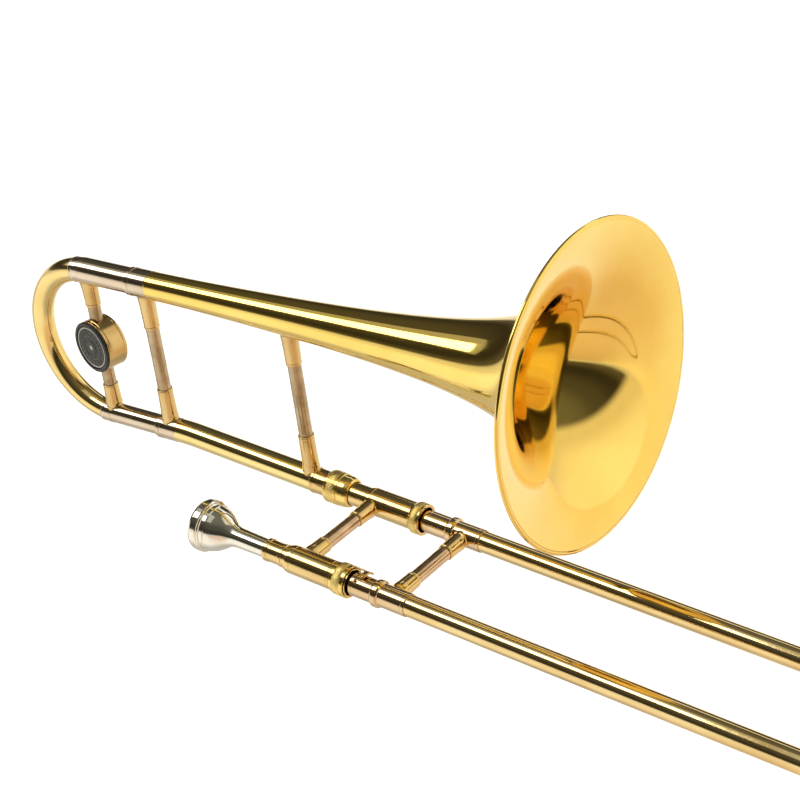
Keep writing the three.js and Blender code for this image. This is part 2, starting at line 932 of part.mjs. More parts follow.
// ---------------------------------------------------------------- water key
{
  const X = WATER_KEY_X,
    Z = WATER_KEY_Z;
  // Nipple over the tone hole, foot cut to the bow.
  const nip = pipe(6, 11.0, 3.3, 2.1, 14);
  nip.rotateY(Math.PI / 2);
  nip.translate(X + 12, 0, 0);
  const bowLeg = pipe(880, 960, BOW_R + GAP, 0, 28);
  add("water_key_nipple", minus(nip, bowLeg), brass);

  // Saddle: plate under the ferrule with two ears for the screw.
  const box = (x0, x1, y0, y1, z0, z1) => {
    const g = new THREE.BoxGeometry(x1 - x0, y1 - y0, z1 - z0);
    g.translate((x0 + x1) / 2, (y0 + y1) / 2, (z0 + z1) / 2);
    return g;
  };
  const ear = (y0, y1) => {
    const g = pipe(y0, y1, 2.4, 0, 16);
    g.rotateZ(Math.PI / 2);
    return moved(g, X - 5, 0, Z);
  };
  const P = X - 5; // pivot line
  const saddle = minus(
    plus(
      box(P - 4.2, P + 4.2, -4.8, 4.8, Z + 2.6, -4),
      box(P - 2.4, P + 2.4, 3.5, 4.8, Z, -4),
      box(P - 2.4, P + 2.4, -4.8, -3.5, Z, -4),
      ear(3.5, 4.8),
      ear(-4.8, -3.5),
    ),
    pipe(880, 960, 8.3 + GAP, 0, 28),
    box(P - 5, P + 5, -3.5, 3.5, Z - 3, Z + 2.6),
    (() => {
      const g = pipe(-9, 9, 1.25, 0, 12);
      g.rotateZ(Math.PI / 2);
      return moved(g, P, 0, Z);
    })(),
  );
  add("water_key_saddle", saddle, gold);
  const screw = plus(
    (() => {
      const g = pipe(-4.9, 5.15, 0.9, 0, 12);
      g.rotateZ(Math.PI / 2);
      return g;
    })(),
    (() => {
      const g = pipe(5.1, 6.1, 1.7, 0, 12);
      g.rotateZ(Math.PI / 2);
      return g;
    })(),
  );
  add("water_key_screw", moved(screw, P, 0, Z), steel);

  // Lever: hub on the screw, cup over the nipple, thumb plate under the tube.
  const hub = (() => {
    const g = pipe(-1.6, 3.1, 2.2, 0, 16);
    g.rotateZ(Math.PI / 2);
    return moved(g, P, 0, Z);
  })();
  const hubHole = (() => {
    const g = pipe(-6, 6, 1.25, 0, 12);
    g.rotateZ(Math.PI / 2);
    return moved(g, P, 0, Z);
  })();
  const cup = pipe(0, 3, 4.4, 0, 16);
  cup.rotateY(Math.PI / 2);
  cup.translate(X + 12, 0, Z - 1.0);
  const cupHollow = pipe(-0.2, 2.0, 3.7, 0, 16);
  cupHollow.rotateY(Math.PI / 2);
  cupHollow.translate(X + 12, 0, Z - 1.0);
  // Thumb arm: drops behind the hub, then runs level to its plate.
  const arm = new THREE.Shape();
  arm.moveTo(P + 1, Z - 0.6);
  arm.lineTo(P - 3, Z - 3.6);
  arm.lineTo(P - 12, Z - 4.6);
  arm.lineTo(P - 25, Z - 4.4);
  arm.lineTo(P - 25, Z - 5.4);
  arm.lineTo(P - 12, Z - 5.8);
  arm.lineTo(P - 3, Z - 5.0);
  arm.lineTo(P + 2.2, Z - 1.8);
  arm.closePath();
  const armSolid = new THREE.ExtrudeGeometry(arm, {
    depth: 3.2,
    bevelEnabled: false,
  });
  // shape x -> X, shape y -> Z, depth -> -Y
  armSolid.applyMatrix4(
    new THREE.Matrix4().makeBasis(V(1, 0, 0), V(0, 0, 1), V(0, -1, 0)),
  );
  armSolid.translate(0, 1.6, 0);
  const plate = (() => {
    const g = pipe(0, 1.2, 5.2, 0, 20);
    g.rotateY(Math.PI / 2);
    g.scale(1.25, 1, 1);
    return moved(g, P - 25, 0, Z - 4.4);
  })();
  const front = box(P + 1.2, X + 9.5, -1.5, 1.5, Z - 3.4, Z - 1.6);
  const lever = minus(
    plus(hub, armSolid, plate, front, cup),
    hubHole,
    cupHollow,
  );
  add("water_key_lever", lever, gold);
  const pad = pipe(0, 3.7, 3.4, 0, 16);
  pad.rotateY(Math.PI / 2);
  add("water_key_cork", moved(pad, X + 12, 0, Z + 1.0), cork);

  // Torsion spring beside the hub: three turns of wire round the screw.
  const turns = 2.2,
    steps = 24,
    st = [];
  for (let i = 0; i <= steps; i++) {
    const a = (2 * Math.PI * turns * i) / steps;
    st.push(V(P + 1.75 * Math.sin(a), -3.05 + (0.95 * i) / steps, Z + 1.75 * Math.cos(a)));
  }
  const curve = new THREE.CatmullRomCurve3(st);
  const wire = new THREE.Shape();
  for (let i = 0; i < 5; i++) {
    const a = (2 * Math.PI * i) / 5,
      q = [0.18 * Math.cos(a), 0.18 * Math.sin(a)];
    if (i === 0) wire.moveTo(...q);
    else wire.lineTo(...q);
  }
  wire.closePath();
  add(
    "water_key_spring",
    clean(
      new THREE.ExtrudeGeometry(wire, {
        steps: 28,
        bevelEnabled: false,
        extrudePath: curve,
      }),
    ),
    steel,
  );
}

// --------------------------------------------------------------- mouthpiece
{
  const x = MOUTHPIECE_RIM_X,
    R = MOUTHPIECE_RIM_R;
  // Outside from the rim's flat to the shank, then the cup, throat and
  // backbore on the way back.
  add(
    "mouthpiece",
    turned(
      [
        [x - 0.4, 15.3],
        [x, 16.8],
        [x + 2.2, R],
        [x + 7.4, R],
        [x + 8.4, 16.9],
        [x + 8.8, 15.9],
        [x + 11.6, 15.9],
        [x + 12.3, 15.2],
        [x + 17, 13.9],
        [x + 21.5, 11.4],
        [x + 25.2, 8.5],
        [x + 28.6, 6.9],
        [138, 6.35],
        [163.6, 5.5],
        [163.6, 4.6],
        [132, 3.6],
        [118, 3.2],
        [113, 3.9],
        [109, 6.6],
        [104, 9.8],
        [96, 12.1],
        [88, 12.9],
        [x + 0.9, 13.3],
        [x - 0.4, 14.3],
      ],
      24,
    ),
    silver,
    mouthFrame,
  );
}

export default root;
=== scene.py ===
# Looks of the tenor trombone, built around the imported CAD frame. Shapes are
# worked out in millimetres in the same frames as the CAD (working frame,
# bell frame, mouthpiece-side frame) and written in metres in the row frame.
import math

import bpy
import bmesh
import numpy as np
from mathutils import Matrix, Vector, noise


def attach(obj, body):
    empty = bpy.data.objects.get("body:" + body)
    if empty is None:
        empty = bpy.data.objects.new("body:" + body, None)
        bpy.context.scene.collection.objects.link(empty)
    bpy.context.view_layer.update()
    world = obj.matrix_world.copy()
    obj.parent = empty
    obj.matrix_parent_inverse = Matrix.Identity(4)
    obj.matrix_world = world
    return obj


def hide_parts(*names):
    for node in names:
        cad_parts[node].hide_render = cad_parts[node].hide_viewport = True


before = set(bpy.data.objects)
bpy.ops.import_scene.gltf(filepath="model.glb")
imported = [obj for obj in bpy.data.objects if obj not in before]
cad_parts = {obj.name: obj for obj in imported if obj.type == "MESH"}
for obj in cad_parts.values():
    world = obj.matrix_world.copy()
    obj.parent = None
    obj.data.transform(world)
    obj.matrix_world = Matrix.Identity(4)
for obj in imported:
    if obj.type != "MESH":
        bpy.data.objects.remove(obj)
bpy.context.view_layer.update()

# ---------------------------------------------------------------- dimensions
SLIDE_WIDTH = 80.6
GRIP_X = 165.7
OUTER_BRACE_X = 237.8
BELL_TILT = math.radians(4.757)
BELL_RISE = 114.6
BELL_RIM_U = 349.7
BELL_RIM_R = 102.0
BELL_STEM_R = 9.9
BELL_STEM_U = -9.7
BELL_WALL = 0.7
BEAD_R = 1.6
FLARE_D = 18.9
FLARE_P = 0.785

BORE_R = 6.25
INNER_TUBE_R = 6.5
STOCKING_R = 6.58
STOCKING_LENGTH = 90.0
OUTER_TUBE_BORE_R = 6.8
OUTER_TUBE_R = 7.1
OUTER_TUBE_START = 190.0
INNER_TUBE_END = 898.0
OUTER_TUBE_END = 903.0
BOW_START = 935.0
BOW_R = 7.35
BOW_BORE_R = 6.8

SLEEVE_U = -28.5
REAR_BRACE_U = -18.3
FRONT_BRACE_U = 110.5
UPPER_LEG_R = 9.4
LOWER_LEG_R = 7.6
CROOK_U = -74.5
CROOK_FERRULE_DEG = 9.0
WEIGHT_R = 19.4
WEIGHT_LENGTH = 18.4
WEIGHT_TWIST = math.radians(9.5)
NECK_R = 8.6
NECK_END = 113.5

ROD_R = 4.8
SOCKET_R = 5.5

MOUTHPIECE_RIM_X = 82.5
MOUTHPIECE_RIM_R = 17.8
WATER_KEY_X = 912.0
WATER_KEY_Z = -12.3
GAP = 0.3

# -------------------------------------------------------------------- frames
ASSEMBLY = Matrix.Translation((-GRIP_X, SLIDE_WIDTH / 2, 0))
MOUTH = ASSEMBLY @ Matrix.Translation((0, -SLIDE_WIDTH, 0))
BELL_FRAME = ASSEMBLY @ Matrix.Rotation(-BELL_TILT, 4, "Y")
BELL_AXIS = BELL_FRAME @ Matrix.Translation((0, 0, BELL_RISE))


def rot(axis, degrees):
    return Matrix.Rotation(math.radians(degrees), 4, axis)


def at(x, y, z):
    return Matrix.Translation((x, y, z))


# ---------------------------------------------------------------- mesh tools
def build(name, verts, faces, place, body, nodes, material, smooth=True, flip=None):
    """A piece from vertices in millimetres in a local frame."""
    v = np.asarray(verts, float)
    m = np.array(place, float)
    w = (v @ m[:3, :3].T + m[:3, 3]) * 0.001
    mesh = bpy.data.meshes.new(name)
    mesh.from_pydata([tuple(p) for p in w], [], [tuple(int(i) for i in f) for f in faces])
    mesh.validate(clean_customdata=False)
    bm = bmesh.new()
    bm.from_mesh(mesh)
    bmesh.ops.remove_doubles(bm, verts=bm.verts, dist=1e-7)
    bmesh.ops.recalc_face_normals(bm, faces=bm.faces)
    bm.to_mesh(mesh)
    bm.free()
    for p in mesh.polygons:
        p.use_smooth = smooth
    obj = bpy.data.objects.new(name, mesh)
    bpy.context.scene.collection.objects.link(obj)
    mesh.materials.append(material)
    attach(obj, body)
    if nodes:
        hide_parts(*nodes)
    return obj


def fillet(points, radius=0.25, steps=4, closed=True, support=0.6):
    """Rounds the corners of a profile of (x, r) or (x, r, own radius). Points on
    the axis stay sharp. Extra points beside each arc keep the flats flat."""
    pts = [tuple(map(float, p)) for p in points]
    n = len(pts)
    out = []
    for i, p in enumerate(pts):
        rad = p[2] if len(p) > 2 else radius
        P = np.array(p[:2])
        if not closed and (i == 0 or i == n - 1):
            out.append(tuple(P))
            continue
        A = np.array(pts[(i - 1) % n][:2])
        B = np.array(pts[(i + 1) % n][:2])
        a, b = A - P, B - P
        la, lb = np.linalg.norm(a), np.linalg.norm(b)
        if la < 1e-9 or lb < 1e-9 or rad <= 0 or P[1] < 1e-9:
            out.append(tuple(P))
            continue
        a, b = a / la, b / lb
        cosang = float(np.clip(a @ b, -1, 1))
        ang = math.acos(cosang)
        if ang > math.radians(176):
            out.append(tuple(P))
            continue
        t = rad / math.tan(ang / 2)
        t = min(t, 0.42 * la, 0.42 * lb)
        r = t * math.tan(ang / 2)
        c = P + (a + b) / np.linalg.norm(a + b) * (r / math.sin(ang / 2))
        p0, p1 = P + a * t, P + b * t
        d = min(support * max(r, 0.05), 0.06 * la + 0.02)
        if la - 2 * t > 2.2 * d:
            out.append(tuple(p0 + a * d))
        v0, v1 = p0 - c, p1 - c
        a0 = math.atan2(v0[1], v0[0])
        a1 = math.atan2(v1[1], v1[0])
        da = (a1 - a0 + math.pi) % (2 * math.pi) - math.pi
        k = steps if abs(da) > math.radians(40) else max(2, steps - 2)
        for j in range(k + 1):
            f = a0 + da * j / k
            out.append((c[0] + r * math.cos(f), c[1] + r * math.sin(f)))
        d = min(support * max(r, 0.05), 0.06 * lb + 0.02)
        if lb - 2 * t > 2.2 * d:
            out.append(tuple(p1 + b * d))
    return out


def lathe(profile, segs=64, closed=None):
    """Surface of revolution about X from (x, r) points."""
    pts = [(float(x), max(0.0, float(r))) for x, r in profile]
    clean = [pts[0]]
    for p in pts[1:]:
        if abs(p[0] - clean[-1][0]) + abs(p[1] - clean[-1][1]) > 1e-5:
            clean.append(p)
    pts = clean
    on_axis = pts[0][1] < 1e-6 and pts[-1][1] < 1e-6
    if closed is None:
        closed = not on_axis
    if closed and abs(pts[0][0] - pts[-1][0]) + abs(pts[0][1] - pts[-1][1]) < 1e-5:
        pts = pts[:-1]
    verts, rows = [], []
    for x, r in pts:
        if r < 1e-6:
            rows.append([len(verts)] * segs)
            verts.append((x, 0, 0))
        else:
            rows.append(list(range(len(verts), len(verts) + segs)))
            for k in range(segs):
                f = 2 * math.pi * k / segs
                verts.append((x, r * math.sin(f), r * math.cos(f)))
    faces = []
    m = len(pts)
    for i in range(m if closed else m - 1):
        a, b = rows[i], rows[(i + 1) % m]
        for k in range(segs):
            q = [a[k], a[(k + 1) % segs], b[(k + 1) % segs], b[k]]
            u = []
            for j in q:
                if j not in u:
                    u.append(j)
            if len(u) >= 3:
                faces.append(u)
    return verts, faces


def turned(name, profile, place, body, nodes, material, segs=72, radius=0.22,
           steps=4, closed=None):
    on_axis = profile[0][1] < 1e-6 and profile[-1][1] < 1e-6
    pr = fillet(profile, radius, steps, closed=not on_axis)
    v, f = lathe(pr, segs, closed)
    return build(name, v, f, place, body, nodes, material)


def sweep(stations, side, segs=48):
    """A hollow tube through stations (p, t, out, bore)."""
    side = Vector(side).normalized()
    verts, faces = [], []
    for p, t, out, bore in stations:
        t = Vector(t).normalized()
        a = side.cross(t).normalized()
        for r in (out, bore):
            for k in range(segs):
                f = 2 * math.pi * k / segs
                verts.append(tuple(Vector(p) + a * (r * math.cos(f)) + side * (r * math.sin(f))))
    ring = 2 * segs

    def idx(i, k, inner):
        return i * ring + (segs if inner else 0) + (k % segs)

    m = len(stations) - 1
    for k in range(segs):
        for i in range(m):
            faces.append((idx(i, k, 0), idx(i, k + 1, 0), idx(i + 1, k + 1, 0), idx(i + 1, k, 0)))
            faces.append((idx(i, k + 1, 1), idx(i, k, 1), idx(i + 1, k, 1), idx(i + 1, k + 1, 1)))
        faces.append((idx(0, k + 1, 0), idx(0, k, 0), idx(0, k, 1), idx(0, k + 1, 1)))
        faces.append((idx(m, k, 0), idx(m, k + 1, 0), idx(m, k + 1, 1), idx(m, k, 1)))
    return verts, faces


def end_rings(stations, back=0.5, cut=0.12):
    """Adds a support ring and a small chamfer at both mouths of a swept tube."""
    st = [tuple(s) for s in stations]
    (p0, t0, o0, b0), (p1, t1, o1, b1) = st[0], st[-1]
    t0v, t1v = Vector(t0).normalized(), Vector(t1).normalized()
    head = [(Vector(p0), t0, o0 - cut, b0 + cut * 0.5),
            (Vector(p0) + t0v * cut, t0, o0, b0),
            (Vector(p0) + t0v * back, t0, o0, b0)]
    tail = [(Vector(p1) - t1v * back, t1, o1, b1),
            (Vector(p1) - t1v * cut, t1, o1, b1),
            (Vector(p1), t1, o1 - cut, b1 + cut * 0.5)]
    mid = [s for s in st[1:-1]]
    return head + mid + tail


# ----------------------------------------------------------------- materials
class Nodes:
    def __init__(self, name):
        self.mat = bpy.data.materials.new(name)
        self.mat.use_nodes = True
        self.t = self.mat.node_tree
        self.t.nodes.clear()
        self.out = self.t.nodes.new("ShaderNodeOutputMaterial")
        self.bsdf = self.t.nodes.new("ShaderNodeBsdfPrincipled")
        self.t.links.new(self.bsdf.outputs[0], self.out.inputs["Surface"])
        self.coord = self.t.nodes.new("ShaderNodeTexCoord")

    def node(self, kind, **props):
        n = self.t.nodes.new(kind)
        for k, v in props.items():
            setattr(n, k, v)
        return n

    def link(self, a, b):
        self.t.links.new(a, b)

    def mapped(self, scale=(1, 1, 1), rotation=(0, 0, 0), location=(0, 0, 0)):
        m = self.node("ShaderNodeMapping")
        m.inputs["Scale"].default_value = scale
        m.inputs["Rotation"].default_value = rotation
        m.inputs["Location"].default_value = location
        self.link(self.coord.outputs["Object"], m.inputs["Vector"])
        return m.outputs["Vector"]

    def noise(self, vector, scale=1.0, detail=3.0, rough=0.5, distortion=0.0):
        n = self.node("ShaderNodeTexNoise")
        n.inputs["Scale"].default_value = scale
        n.inputs["Detail"].default_value = detail
        n.inputs["Roughness"].default_value = rough
        n.inputs["Distortion"].default_value = distortion
        self.link(vector, n.inputs["Vector"])
        return n.outputs["Fac"]

    def range(self, value, lo, hi, to_lo, to_hi):
        n = self.node("ShaderNodeMapRange")
        n.inputs["From Min"].default_value = lo
        n.inputs["From Max"].default_value = hi
        n.inputs["To Min"].default_value = to_lo
        n.inputs["To Max"].default_value = to_hi
        self.link(value, n.inputs["Value"])
        return n.outputs["Result"]

    def math(self, op, a, b=None):
        n = self.node("ShaderNodeMath", operation=op)
        for i, x in enumerate((a, b)):
            if x is None:
                continue
            if isinstance(x, (int, float)):
                n.inputs[i].default_value = x
            else:
                self.link(x, n.inputs[i])
        return n.outputs[0]

    def mix(self, fac, a, b):
        n = self.node("ShaderNodeMix", data_type="RGBA")
        self.link(fac, n.inputs["Factor"])
        for key, x in (("A", a), ("B", b)):
            s = [i for i in n.inputs if i.name == key and i.type == "RGBA"][0]
            if isinstance(x, tuple):
                s.default_value = (*x, 1)
            else:
                self.link(x, s)
        return [o for o in n.outputs if o.type == "RGBA"][0]

    def bump(self, height, strength, distance, normal=None):
        b = self.node("ShaderNodeBump")
        b.inputs["Strength"].default_value = strength
        b.inputs["Distance"].default_value = distance
        self.link(height, b.inputs["Height"])
        if normal is not None:
            self.link(normal, b.inputs["Normal"])
        return b.outputs["Normal"]


def metal(name, color, deep, rough=(0.05, 0.12), grain=(30, 1400, 1400), rotation=(0, 0, 0),
          grain_bump=0.06, wave_bump=0.05, coat=0.35, crevice_shade_and_tarnish=0.0, specks=0.0, wave_scale=38.0, drift_scale=26.0):
    """Polished metal under clear lacquer: two tones drifting over the surface,
    polishing marks along the grain, faint dents, smudges in the gloss."""
    n = Nodes(name)
    b = n.bsdf
    b.inputs["Metallic"].default_value = 1.0
    b.inputs["Coat Weight"].default_value = coat
    b.inputs["Coat Roughness"].default_value = 0.03
    b.inputs["Coat IOR"].default_value = 1.45
    raw = n.mapped()
    drift = n.noise(raw, drift_scale, 3.0, 0.55)
    tone = n.range(drift, 0.36, 0.66, 0.0, 1.0)
    col = n.mix(tone, color, deep)
    streak = n.noise(n.mapped(scale=grain, rotation=rotation), 1.0, 3.0, 0.6)
    fine = n.range(streak, 0.3, 0.7, 0.0, 1.0)
    lighter = tuple(min(1.0, c * 1.06 + 0.01) for c in color)
    col = n.mix(n.math("MULTIPLY", fine, 0.22), col, lighter)
    if specks:
        spots = n.noise(raw, 900.0, 2.0, 0.5)
        mask = n.range(spots, 0.74, 0.80, 0.0, specks)
        col = n.mix(mask, col, tuple(c * 0.45 for c in deep))
    # Painted shade: ambient occlusion darkens the colour to brown in crevices and joins, also standing for tarnish
    # there.
    if crevice_shade_and_tarnish:
        ao = n.node("ShaderNodeAmbientOcclusion", samples=4, only_local=False)
        ao.inputs["Distance"].default_value = 0.0016
        dark = n.range(ao.outputs["AO"], 0.35, 0.85, crevice_shade_and_tarnish, 0.0)
        col = n.mix(dark, col, (0.09, 0.05, 0.018))
    n.link(col, b.inputs["Base Color"])
    smudge = n.noise(raw, 85.0, 4.0, 0.62, 0.4)
    wipe = n.range(smudge, 0.35, 0.72, rough[0], rough[1])
    wipe = n.math("ADD", wipe, n.math("MULTIPLY", fine, 0.018))
    n.link(wipe, b.inputs["Roughness"])
    nb = n.bump(n.noise(raw, wave_scale, 1.0, 0.4), wave_bump, 0.0012)
    nb = n.bump(streak, grain_bump, 0.00005, nb)
    n.link(nb, b.inputs["Normal"])
    return n.mat


X_GRAIN = (22, 1500, 1500)      # drawn along X
RING_GRAIN = (2600, 60, 60)     # turned about X
TILT = (0, BELL_TILT, 0)        # turns the bell frame's x on to X

BELL_BRASS = metal("bell_brass", (0.92, 0.665, 0.17), (0.87, 0.605, 0.135), (0.045, 0.10),
                   RING_GRAIN, TILT, 0.05, 0.014, 0.4, specks=0.25)
NECK_BRASS = metal("neckpipe_brass", (0.89, 0.71, 0.30), (0.84, 0.64, 0.24), (0.05, 0.12),
                   X_GRAIN, TILT, 0.05, 0.06, 0.35, specks=0.2)
CROOK_BRASS = metal("crook_brass", (0.84, 0.64, 0.26), (0.77, 0.56, 0.20), (0.06, 0.13),
                    (500, 500, 500), TILT, 0.03, 0.08, 0.35, specks=0.2)
TUBE_BRASS = metal("slide_tube_brass", (0.83, 0.63, 0.30), (0.74, 0.53, 0.22), (0.05, 0.13),
                   X_GRAIN, (0, 0, 0), 0.05, 0.05, 0.3, specks=0.35, wave_scale=24.0)
FITTING = metal("fitting_brass", (0.76, 0.56, 0.24), (0.69, 0.48, 0.18), (0.07, 0.16),
                RING_GRAIN, (0, 0, 0), 0.08, 0.04, 0.3, crevice_shade_and_tarnish=0.4, specks=0.3)
KNURLED = metal("knurled_brass", (0.93, 0.72, 0.25), (0.86, 0.63, 0.20), (0.34, 0.46),
                RING_GRAIN, (0, 0, 0), 0.10, 0.03, 0.1, crevice_shade_and_tarnish=0.5, specks=0.3)
NUT_BRASS = metal("nut_brass", (0.90, 0.68, 0.22), (0.82, 0.58, 0.17), (0.10, 0.18),
                  RING_GRAIN, (0, 0, 0), 0.08, 0.03, 0.3, crevice_shade_and_tarnish=0.4, specks=0.2)
FITTING_BELL = metal("bell_fitting_brass", (0.70, 0.50, 0.21), (0.57, 0.385, 0.145), (0.09, 0.19),
                     (900, 900, 900), TILT, 0.06, 0.05, 0.3, crevice_shade_and_tarnish=0.4, specks=0.3)
NICKEL = metal("nickel_silver", (0.72, 0.60, 0.45), (0.60, 0.47, 0.33), (0.06, 0.15),
               X_GRAIN, TILT, 0.07, 0.05, 0.25, crevice_shade_and_tarnish=0.35, specks=0.4)
NICKEL_TUBE = metal("nickel_silver_slide", (0.74, 0.55, 0.32), (0.66, 0.46, 0.25), (0.06, 0.14),
                    X_GRAIN, (0, 0, 0), 0.07, 0.04, 0.25, crevice_shade_and_tarnish=0.35, specks=0.3)
NICKEL_ROD = metal("nickel_silver_brace", (0.50, 0.385, 0.24), (0.30, 0.215, 0.12), (0.13, 0.26),
                   (700, 700, 700), (0, 0, 0), 0.07, 0.08, 0.2, crevice_shade_and_tarnish=0.4, specks=0.75, drift_scale=95.0)
NICKEL_ROD_SLIDE = metal("nickel_silver_slide_brace", (0.70, 0.50, 0.33), (0.52, 0.355, 0.21), (0.12, 0.24),
                         (700, 700, 700), (0, 0, 0), 0.07, 0.06, 0.2, crevice_shade_and_tarnish=0.4, specks=0.5, drift_scale=95.0)
SILVER = metal("silver_plate", (0.84, 0.81, 0.72), (0.76, 0.71, 0.61), (0.035, 0.10),
               RING_GRAIN, (0, 0, 0), 0.05, 0.03, 0.0, crevice_shade_and_tarnish=0.3)
CHROME = metal("chrome_plate", (0.80, 0.81, 0.82), (0.76, 0.77, 0.78), (0.04, 0.09),
               X_GRAIN, (0, 0, 0), 0.04, 0.03, 0.0)
STEEL = metal("steel", (0.60, 0.59, 0.57), (0.50, 0.49, 0.47), (0.2, 0.34),
              (1200, 1200, 1200), (0, 0, 0), 0.12, 0.04, 0.0, crevice_shade_and_tarnish=0.5)


def enamel(name, base, edge):
    n = Nodes(name)
    b = n.bsdf
    raw = n.mapped()
    b.inputs["Coat Weight"].default_value = 0.25
    b.inputs["Coat Roughness"].default_value = 0.06
    b.inputs["Specular IOR Level"].default_value = 0.2
    tone = n.range(n.noise(raw, 210.0, 4.0, 0.6), 0.35, 0.7, 0.0, 1.0)
    n.link(n.mix(tone, base, edge), b.inputs["Base Color"])
    n.link(n.range(n.noise(raw, 480.0, 3.0, 0.6), 0.3, 0.7, 0.22, 0.4), b.inputs["Roughness"])
    n.link(n.bump(n.noise(raw, 2600.0, 3.0, 0.6), 0.12, 0.00004), b.inputs["Normal"])
    return n.mat


def rubber(name):
    n = Nodes(name)
    raw = n.mapped()
    n.link(n.mix(n.range(n.noise(raw, 300.0, 5.0, 0.65), 0.35, 0.7, 0, 1),
                 (0.018, 0.018, 0.019), (0.05, 0.048, 0.045)), n.bsdf.inputs["Base Color"])
    n.link(n.range(n.noise(raw, 700.0, 3.0, 0.6), 0.3, 0.7, 0.6, 0.85), n.bsdf.inputs["Roughness"])
    n.link(n.bump(n.noise(raw, 2200.0, 4.0, 0.6), 0.4, 0.0001), n.bsdf.inputs["Normal"])
    return n.mat


def cork(name):
    n = Nodes(name)
    raw = n.mapped()
    vor = n.node("ShaderNodeTexVoronoi")
    vor.inputs["Scale"].default_value = 900.0
    n.link(raw, vor.inputs["Vector"])
    grains = n.range(vor.outputs["Distance"], 0.0, 0.6, 0.0, 1.0)
    base = n.mix(grains, (0.22, 0.12, 0.05), (0.50, 0.33, 0.17))
    blot = n.range(n.noise(raw, 420.0, 4.0, 0.7), 0.4, 0.65, 0, 1)
    n.link(n.mix(n.math("MULTIPLY", blot, 0.5), base, (0.62, 0.45, 0.26)), n.bsdf.inputs["Base Color"])
    n.link(n.range(grains, 0, 1, 0.95, 0.8), n.bsdf.inputs["Roughness"])
    n.link(n.bump(grains, 0.5, 0.00015), n.bsdf.inputs["Normal"])
    return n.mat


ENAMEL = enamel("black_enamel", (0.006, 0.006, 0.006), (0.017, 0.016, 0.015))
RUBBER = rubber("bumper_rubber")
CORK = cork("cork")

# ---------------------------------------------------------------------- bell
def flare(u):
    return max(BELL_STEM_R, (BELL_RIM_R - 0.9) * (1 + (BELL_RIM_U - u) / FLARE_D) ** -FLARE_P)


def smooth_flare(u):
    """The flare law, with the stem's straight part blended into it."""
    r = (BELL_RIM_R - 0.9) * (1 + (BELL_RIM_U - u) / FLARE_D) ** -FLARE_P
    k = 0.35
    e = (r - BELL_STEM_R) / k
    return r if e > 40 else BELL_STEM_R + k * math.log1p(math.exp(e))


def bell():
    end = BELL_RIM_U - 0.04
    us = [BELL_STEM_U + 0.0, BELL_STEM_U + 0.25, BELL_STEM_U + 1.0, BELL_STEM_U + 3.0]
    u = BELL_STEM_U + 8
    while u < end - 0.25:
        us.append(u)
        u += max(0.3, min(5.0, (end - u) * 0.028))
    us.append(end)
    outer = [(u, smooth_flare(u)) for u in us if u < end - 0.5]
    outer[0] = (outer[0][0], outer[0][1] - 0.2)
    inner = []
    for u in us:
        w = min(1.0, max(0.0, (u - 40) / 14))
        w = w * w * (3 - 2 * w)
        inner.append((u, (1 - w) * 9.62 + w * (smooth_flare(u) - BELL_WALL)))
    # The sheet's inner face runs out level on to the rolled rim's front.
    profile = outer + [(end - 0.35, inner[-1][1] - 0.25)] + inner[::-1]
    v, f = lathe(profile, 192)
    build("bell_shell", v, f, BELL_AXIS, "bell_section", ["bell"], BELL_BRASS)
    bead = []
    for k in range(28):
        a = 2 * math.pi * k / 28
        bead.append((BELL_RIM_U - 1.36 + 1.36 * math.cos(a), BELL_RIM_R - 1.5 + 1.5 * math.sin(a)))
    v, f = lathe(bead, 192)
    build("bell_rim", v, f, BELL_AXIS, "bell_section", ["bell_rim_bead"], BELL_BRASS)


bell()

# -------------------------------------------------- tuning sleeves, neckpipe
turned("upper_sleeve", [(SLEEVE_U, 9.62), (BELL_STEM_U + 0.4, 9.62), (BELL_STEM_U + 0.4, 9.9),
                        (BELL_STEM_U - 0.1, 10.12, 0.1), (SLEEVE_U + 4.2, 10.12, 0.1),
                        (SLEEVE_U + 3.9, 10.02, 0.08), (SLEEVE_U + 3.5, 10.02, 0.08), (SLEEVE_U + 3.2, 10.3, 0.2),
                        (SLEEVE_U, 10.3, 0.4)],
       BELL_AXIS, "bell_section", ["upper_tuning_sleeve"], NICKEL, 80, 0.12)
turned("lower_sleeve", [(SLEEVE_U + 0.5, 8.15), (-9.2, 8.15), (-9.2, 8.62), (-9.8, 8.8, 0.12),
                        (SLEEVE_U + 4.5, 8.8, 0.1), (SLEEVE_U + 4.2, 8.7, 0.08), (SLEEVE_U + 3.8, 8.7, 0.08),
                        (SLEEVE_U + 3.5, 8.95, 0.2), (SLEEVE_U + 0.5, 8.95, 0.35)],
       BELL_FRAME, "bell_section", ["lower_tuning_sleeve"], NICKEL, 80, 0.12)


def neckpipe():
    tilt, bend = BELL_TILT, 200.0
    tangent = bend * math.tan(tilt / 2)
    d = Vector((math.cos(tilt), 0, math.sin(tilt)))
    c = Vector((tangent, 0, -bend))
    st = [(d * -9.75, d)]
    for i in range(13):
        a = tilt * (1 - i / 12)
        st.append((Vector((c.x - bend * math.sin(a), 0, c.z + bend * math.cos(a))),
                   Vector((math.cos(a), 0, math.sin(a)))))
    st.append((Vector((NECK_END + 0.3, 0, 0)), Vector((1, 0, 0))))
    st = end_rings([(p, t, NECK_R, 8.1) for p, t in st])
    v, f = sweep(st, (0, 1, 0), 64)
    build("neck_tube", v, f, ASSEMBLY, "bell_section", ["neckpipe"], NECK_BRASS)


